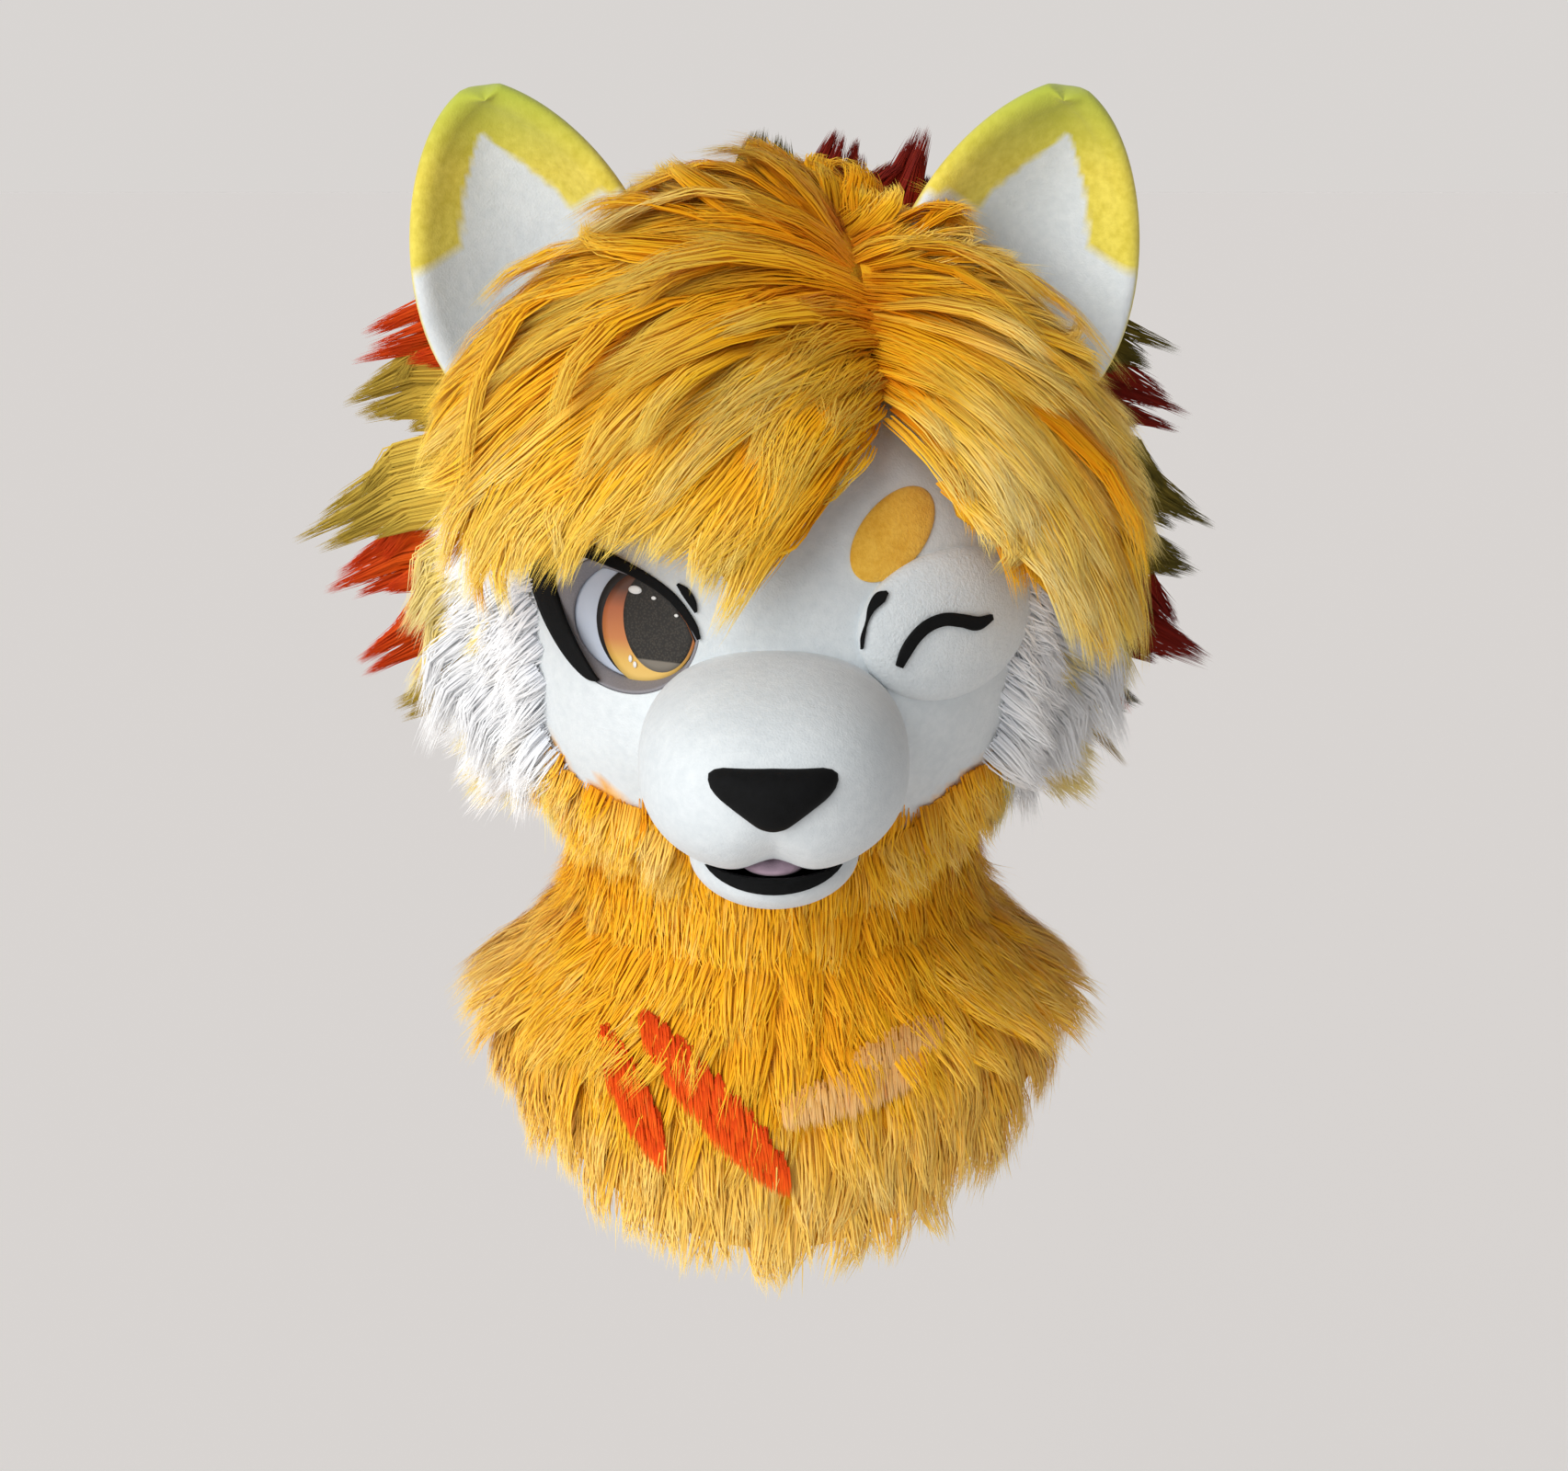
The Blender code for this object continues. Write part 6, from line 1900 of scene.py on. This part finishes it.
    def build(self) -> None:
        """Builds the backing and the fur over it, with its stripes."""
        rng = np.random.default_rng(SEED + 3)
        self.build_base()
        kind = StrandKind(
            per_tuft=46, half_width=0.00046, flatness=0.22, pinch=0.24, ragged=0.30, stray=0.0030, points=4,
            tone_spread=0.04, edge_shade=0.05, roundness=0.4,
        )
        strands = comb(self.tufts(rng), kind, rng)
        laid = [strands, *self.stripe_strands(rng)]
        strands = {key: np.concatenate([part[key] for part in laid]) for key in strands}
        many = len(strands["tone"])
        order = np.argsort(strands["paths"][:, 2, 0])
        parts = 2
        for part in range(parts):
            chosen = order[part * many // parts : (part + 1) * many // parts]
            label = f"bib_fur_{part + 1}"
            portion = {key: value[chosen] for key, value in strands.items()}
            add_piece(label, strand_mesh(label, portion), self.fur, ["neck_bib"])


@dataclass(frozen=True)
class Studio:
    """A plain pale floor far below the head, a broad soft key from the left and a sky that dims away from it."""

    floor_level: float = -2.50
    floor_half: float = 40.0
    floor_tint: tuple[float, float, float] = (0.975, 0.955, 0.950)
    sky: Colour = (245, 241, 238)
    sky_behind: float = 0.757
    key_strength: float = 2.70
    key_angle: float = math.radians(60)
    key_from: tuple[float, float, float] = (-0.62, -0.68, 0.44)
    dim: float = 0.08
    near_key: float = 0.46
    behind_from: float = 0.40
    behind_to: float = 0.70

    def build_floor(self) -> None:
        """The pale floor."""
        bm = bmesh.new()
        bmesh.ops.create_grid(bm, x_segments=1, y_segments=1, size=self.floor_half)
        bmesh.ops.translate(bm, verts=bm.verts, vec=(0, 0, self.floor_level))
        material, _, shader = new_material("pale_floor")
        shader.inputs["Base Color"].default_value = (*self.floor_tint, 1)
        shader.inputs["Roughness"].default_value = 1.0
        shader.inputs["Specular IOR Level"].default_value = 0.0
        mesh = bpy.data.meshes.new("floor")
        bm.to_mesh(mesh)
        bm.free()
        mesh.materials.append(material)
        floor = bpy.data.objects.new("floor", mesh)
        bpy.context.scene.collection.objects.link(floor)

    def build(self) -> None:
        """Makes the floor, the sun lamp and the world."""
        self.build_floor()
        lamp = bpy.data.lights.new("key", "SUN")
        lamp.energy = self.key_strength
        lamp.angle = self.key_angle
        lamp.color = (1.0, 0.99, 0.97)
        key = bpy.data.objects.new("key", lamp)
        key.rotation_euler = Vector(self.key_from).to_track_quat("Z", "Y").to_euler()
        bpy.context.scene.collection.objects.link(key)
        world = bpy.data.worlds.new("soft_sky")
        world.use_nodes = True
        background = world.node_tree.nodes["Background"]
        nodes = Nodes(world.node_tree)
        way = nodes.add("ShaderNodeTexCoord").outputs["Generated"]
        towards = tuple(Vector(self.key_from).normalized())
        facing = nodes.add("ShaderNodeVectorMath", {0: way, 1: towards}, operation="DOT_PRODUCT").outputs["Value"]
        glow = nodes.add(
            "ShaderNodeMapRange",
            {"Value": facing, "From Min": -0.3, "From Max": 1.0, "To Min": self.dim, "To Max": self.near_key},
        ).outputs[0]
        behind = nodes.add("ShaderNodeSeparateXYZ", {0: way}).outputs["Y"]
        plain = nodes.add(
            "ShaderNodeMapRange", {"Value": behind, "From Min": self.behind_from, "From Max": self.behind_to},
            interpolation_type="SMOOTHSTEP",
        ).outputs[0]
        nodes.feed(background.inputs["Color"], linear(self.sky))
        more = nodes.math("MULTIPLY", plain, nodes.math("SUBTRACT", self.sky_behind, glow))
        strength = nodes.math("ADD", glow, more)
        nodes.feed(background.inputs["Strength"], strength)
        bpy.context.scene.world = world
        bpy.context.scene.view_settings.view_transform = "Standard"


WHITE_TONES = (
    (0.00, (214, 219, 228), (234, 238, 243), (246, 248, 250)),
    (0.30, (230, 234, 240), (248, 249, 251), (253, 253, 254)),
    (0.60, (214, 180, 80), (240, 212, 104), (246, 230, 160)),
    (1.00, (214, 160, 40), (236, 190, 66), (240, 214, 120)),
)
HAIR_TONES = (
    (0.00, (212, 104, 2), (236, 140, 4), (246, 172, 20)),
    (0.30, (236, 150, 8), (250, 180, 18), (254, 212, 66)),
    (0.55, (242, 168, 20), (252, 196, 38), (255, 226, 108)),
    (1.00, (244, 190, 60), (254, 218, 104), (255, 240, 176)),
)
# Orange-red and yellow; the dark red rows (0.30, 0.42) and the olive rows (0.82, 1.00) are painted shade of them.
MANE_TONES = (
    (0.00, (206, 60, 6), (244, 88, 14), (204, 54, 14)),
    (0.18, (220, 80, 8), (248, 112, 18), (216, 70, 14)),
    (0.30, (120, 24, 8), (164, 36, 12), (112, 20, 14)),
    (0.42, (124, 26, 8), (170, 40, 12), (118, 24, 14)),
    (0.56, (214, 160, 34), (236, 196, 70), (176, 150, 58)),
    (0.72, (220, 172, 44), (240, 206, 88), (184, 160, 62)),
    (0.82, (130, 110, 26), (168, 144, 48), (92, 84, 32)),
    (1.00, (112, 94, 22), (152, 130, 42), (84, 78, 30)),
)
BIB_TONES = (
    (0.00, (222, 130, 4), (244, 160, 8), (250, 184, 26)),
    (0.30, (238, 156, 10), (252, 188, 26), (254, 208, 62)),
    (0.62, (240, 188, 70), (250, 212, 112), (252, 228, 150)),
    (0.72, (220, 66, 6), (246, 84, 12), (248, 106, 22)),
    (0.84, (220, 66, 6), (246, 90, 14), (250, 112, 26)),
    (0.92, (240, 180, 96), (248, 196, 122), (250, 208, 140)),
)


def eye_materials() -> dict[str, bpy.types.Material]:
    """Makes the eye's finishes.

    Returns:
        The materials by name.
    """
    made = {}
    grey, nodes, shader = new_material("well_grey")
    place = nodes.add("ShaderNodeTexCoord").outputs["Object"]
    weave = nodes.add("ShaderNodeTexNoise", {"Vector": place, "Scale": 1400.0, "Detail": 2.0}).outputs["Fac"]
    nodes.feed(shader.inputs["Base Color"], nodes.mix(weave, linear((120, 118, 124)), linear((150, 148, 154))))
    shader.inputs["Roughness"].default_value = 0.7
    made["grey"] = grey
    white, nodes, shader = new_material("sclera_white")
    place = nodes.add("ShaderNodeTexCoord").outputs["Object"]
    cloud = nodes.add("ShaderNodeTexNoise", {"Vector": place, "Scale": 60.0}).outputs["Fac"]
    nodes.feed(shader.inputs["Base Color"], nodes.mix(cloud, linear((196, 208, 228)), linear((208, 218, 234))))
    shader.inputs["Roughness"].default_value = 0.35
    made["white"] = white
    iris, nodes, shader = new_material("iris_print")
    place = nodes.add("ShaderNodeTexCoord").outputs["Object"]
    level = nodes.add("ShaderNodeSeparateXYZ", {0: place})
    fall = nodes.add("ShaderNodeMapRange", {"Value": level.outputs["Z"], "From Min": -0.160, "From Max": -0.108})
    stops = [(0.0, (236, 200, 116)), (0.22, (228, 184, 92)), (0.42, (206, 130, 74)), (0.72, (190, 108, 66)),
             (0.92, (96, 62, 48))]
    colour = nodes.ramp(fall.outputs[0], stops)
    nodes.feed(shader.inputs["Base Color"], colour)
    shader.inputs["Roughness"].default_value = 0.5
    made["iris"] = iris
    pupil, nodes, shader = new_material("pupil_mesh")
    place = nodes.add("ShaderNodeTexCoord").outputs["Object"]
    dots = nodes.add("ShaderNodeTexVoronoi", {"Vector": place, "Scale": 900.0}).outputs["Distance"]
    share = nodes.add("ShaderNodeMapRange", {"Value": dots, "From Min": 0.2, "From Max": 0.6}).outputs[0]
    level = nodes.add("ShaderNodeSeparateXYZ", {0: place}).outputs["Z"]
    low = nodes.add("ShaderNodeMapRange", {"Value": level, "From Min": -0.1470, "From Max": -0.1478}).outputs[0]
    mesh_colour = nodes.mix(share, linear((66, 62, 56)), linear((44, 42, 40)))
    nodes.feed(shader.inputs["Base Color"], nodes.mix(low, mesh_colour, linear((128, 122, 112))))
    shader.inputs["Roughness"].default_value = 0.8
    made["pupil"] = pupil
    black, nodes, shader = new_material("print_black")
    place = nodes.add("ShaderNodeTexCoord").outputs["Object"]
    cloud = nodes.add("ShaderNodeTexNoise", {"Vector": place, "Scale": 800.0}).outputs["Fac"]
    nodes.feed(shader.inputs["Base Color"], nodes.mix(cloud, linear((24, 22, 24)), linear((38, 34, 34))))
    shader.inputs["Roughness"].default_value = 0.6
    made["black"] = black
    shine, nodes, shader = new_material("print_white")
    place = nodes.add("ShaderNodeTexCoord").outputs["Object"]
    cloud = nodes.add("ShaderNodeTexNoise", {"Vector": place, "Scale": 400.0}).outputs["Fac"]
    nodes.feed(shader.inputs["Base Color"], nodes.mix(cloud, linear((232, 232, 230)), linear((246, 246, 244))))
    shader.inputs["Roughness"].default_value = 0.4
    made["shine"] = shine
    return made


def main() -> None:
    """Builds the head's sub-assemblies in order and reports each piece."""
    logging.basicConfig(level=logging.INFO, format="%(name)s: %(message)s")
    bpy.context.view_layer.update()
    ViewPoint().build()
    Studio().build()
    white_light, white_shaded = (224, 231, 235), (214, 222, 227)
    plush = PlushFinish("plush_white", white_light, white_shaded).build()
    skin = PlushFinish(
        "plush_face", white_light, white_shaded, mask="yellow", mask_light=(248, 186, 56), mask_shaded=(236, 162, 34)
    ).build()
    felt = PlushFinish("felt_black", (13, 14, 16), (7, 8, 9), depth=0.0005, sheen=0.0).build()
    tongue = PlushFinish("tongue_fleece", (206, 178, 196), (186, 158, 178)).build()
    brow = PlushFinish("brow_mustard", (250, 198, 74), (234, 174, 48), patch_scale=90.0, depth=0.002).build()
    ear = PlushFinish(
        "ear_plush", (236, 220, 92), (214, 196, 64), mask="white", mask_light=white_light,
        mask_shaded=white_shaded, high=(176, 190, 66), high_from=0.085, high_to=0.130,
    ).build()
    hair_fur = FurFinish("hair_golden", HAIR_TONES).build()
    mane_fur = FurFinish("mane_fire_painted_shade", MANE_TONES).build()
    white_fur = FurFinish("cheek_white", WHITE_TONES).build()
    bib_fur = FurFinish("bib_golden", BIB_TONES).build()
    hair_base = PlushFinish("hair_backing", (244, 182, 30), (234, 160, 16), depth=0.003, sheen=0.0).build()
    # The mane's backing is darker than its fur: painted shade under the tufts.
    mane_shade_base = PlushFinish("mane_backing_painted_shade", (190, 110, 30), (150, 60, 14), depth=0.003, sheen=0.0).build()
    bib_base = PlushFinish("bib_backing", (246, 184, 34), (236, 164, 18), depth=0.003, sheen=0.0).build()
    eye = EyeSocket(**eye_materials())
    lid = PlushFinish("plush_lid", white_light, white_shaded, patch_scale=100.0, depth=0.0022).build()
    Face(skin, plush, felt, tongue, eye).build()
    eye.build()
    FacePatches(lid, felt, brow).build()
    Ears(ear, white_fur).build()
    Hair(hair_fur, hair_base).build()
    Mane(mane_fur, mane_shade_base).build()
    Cheeks(white_fur).build()
    Bib(bib_fur, bib_base).build()


if __name__ == "__main__":
    main()
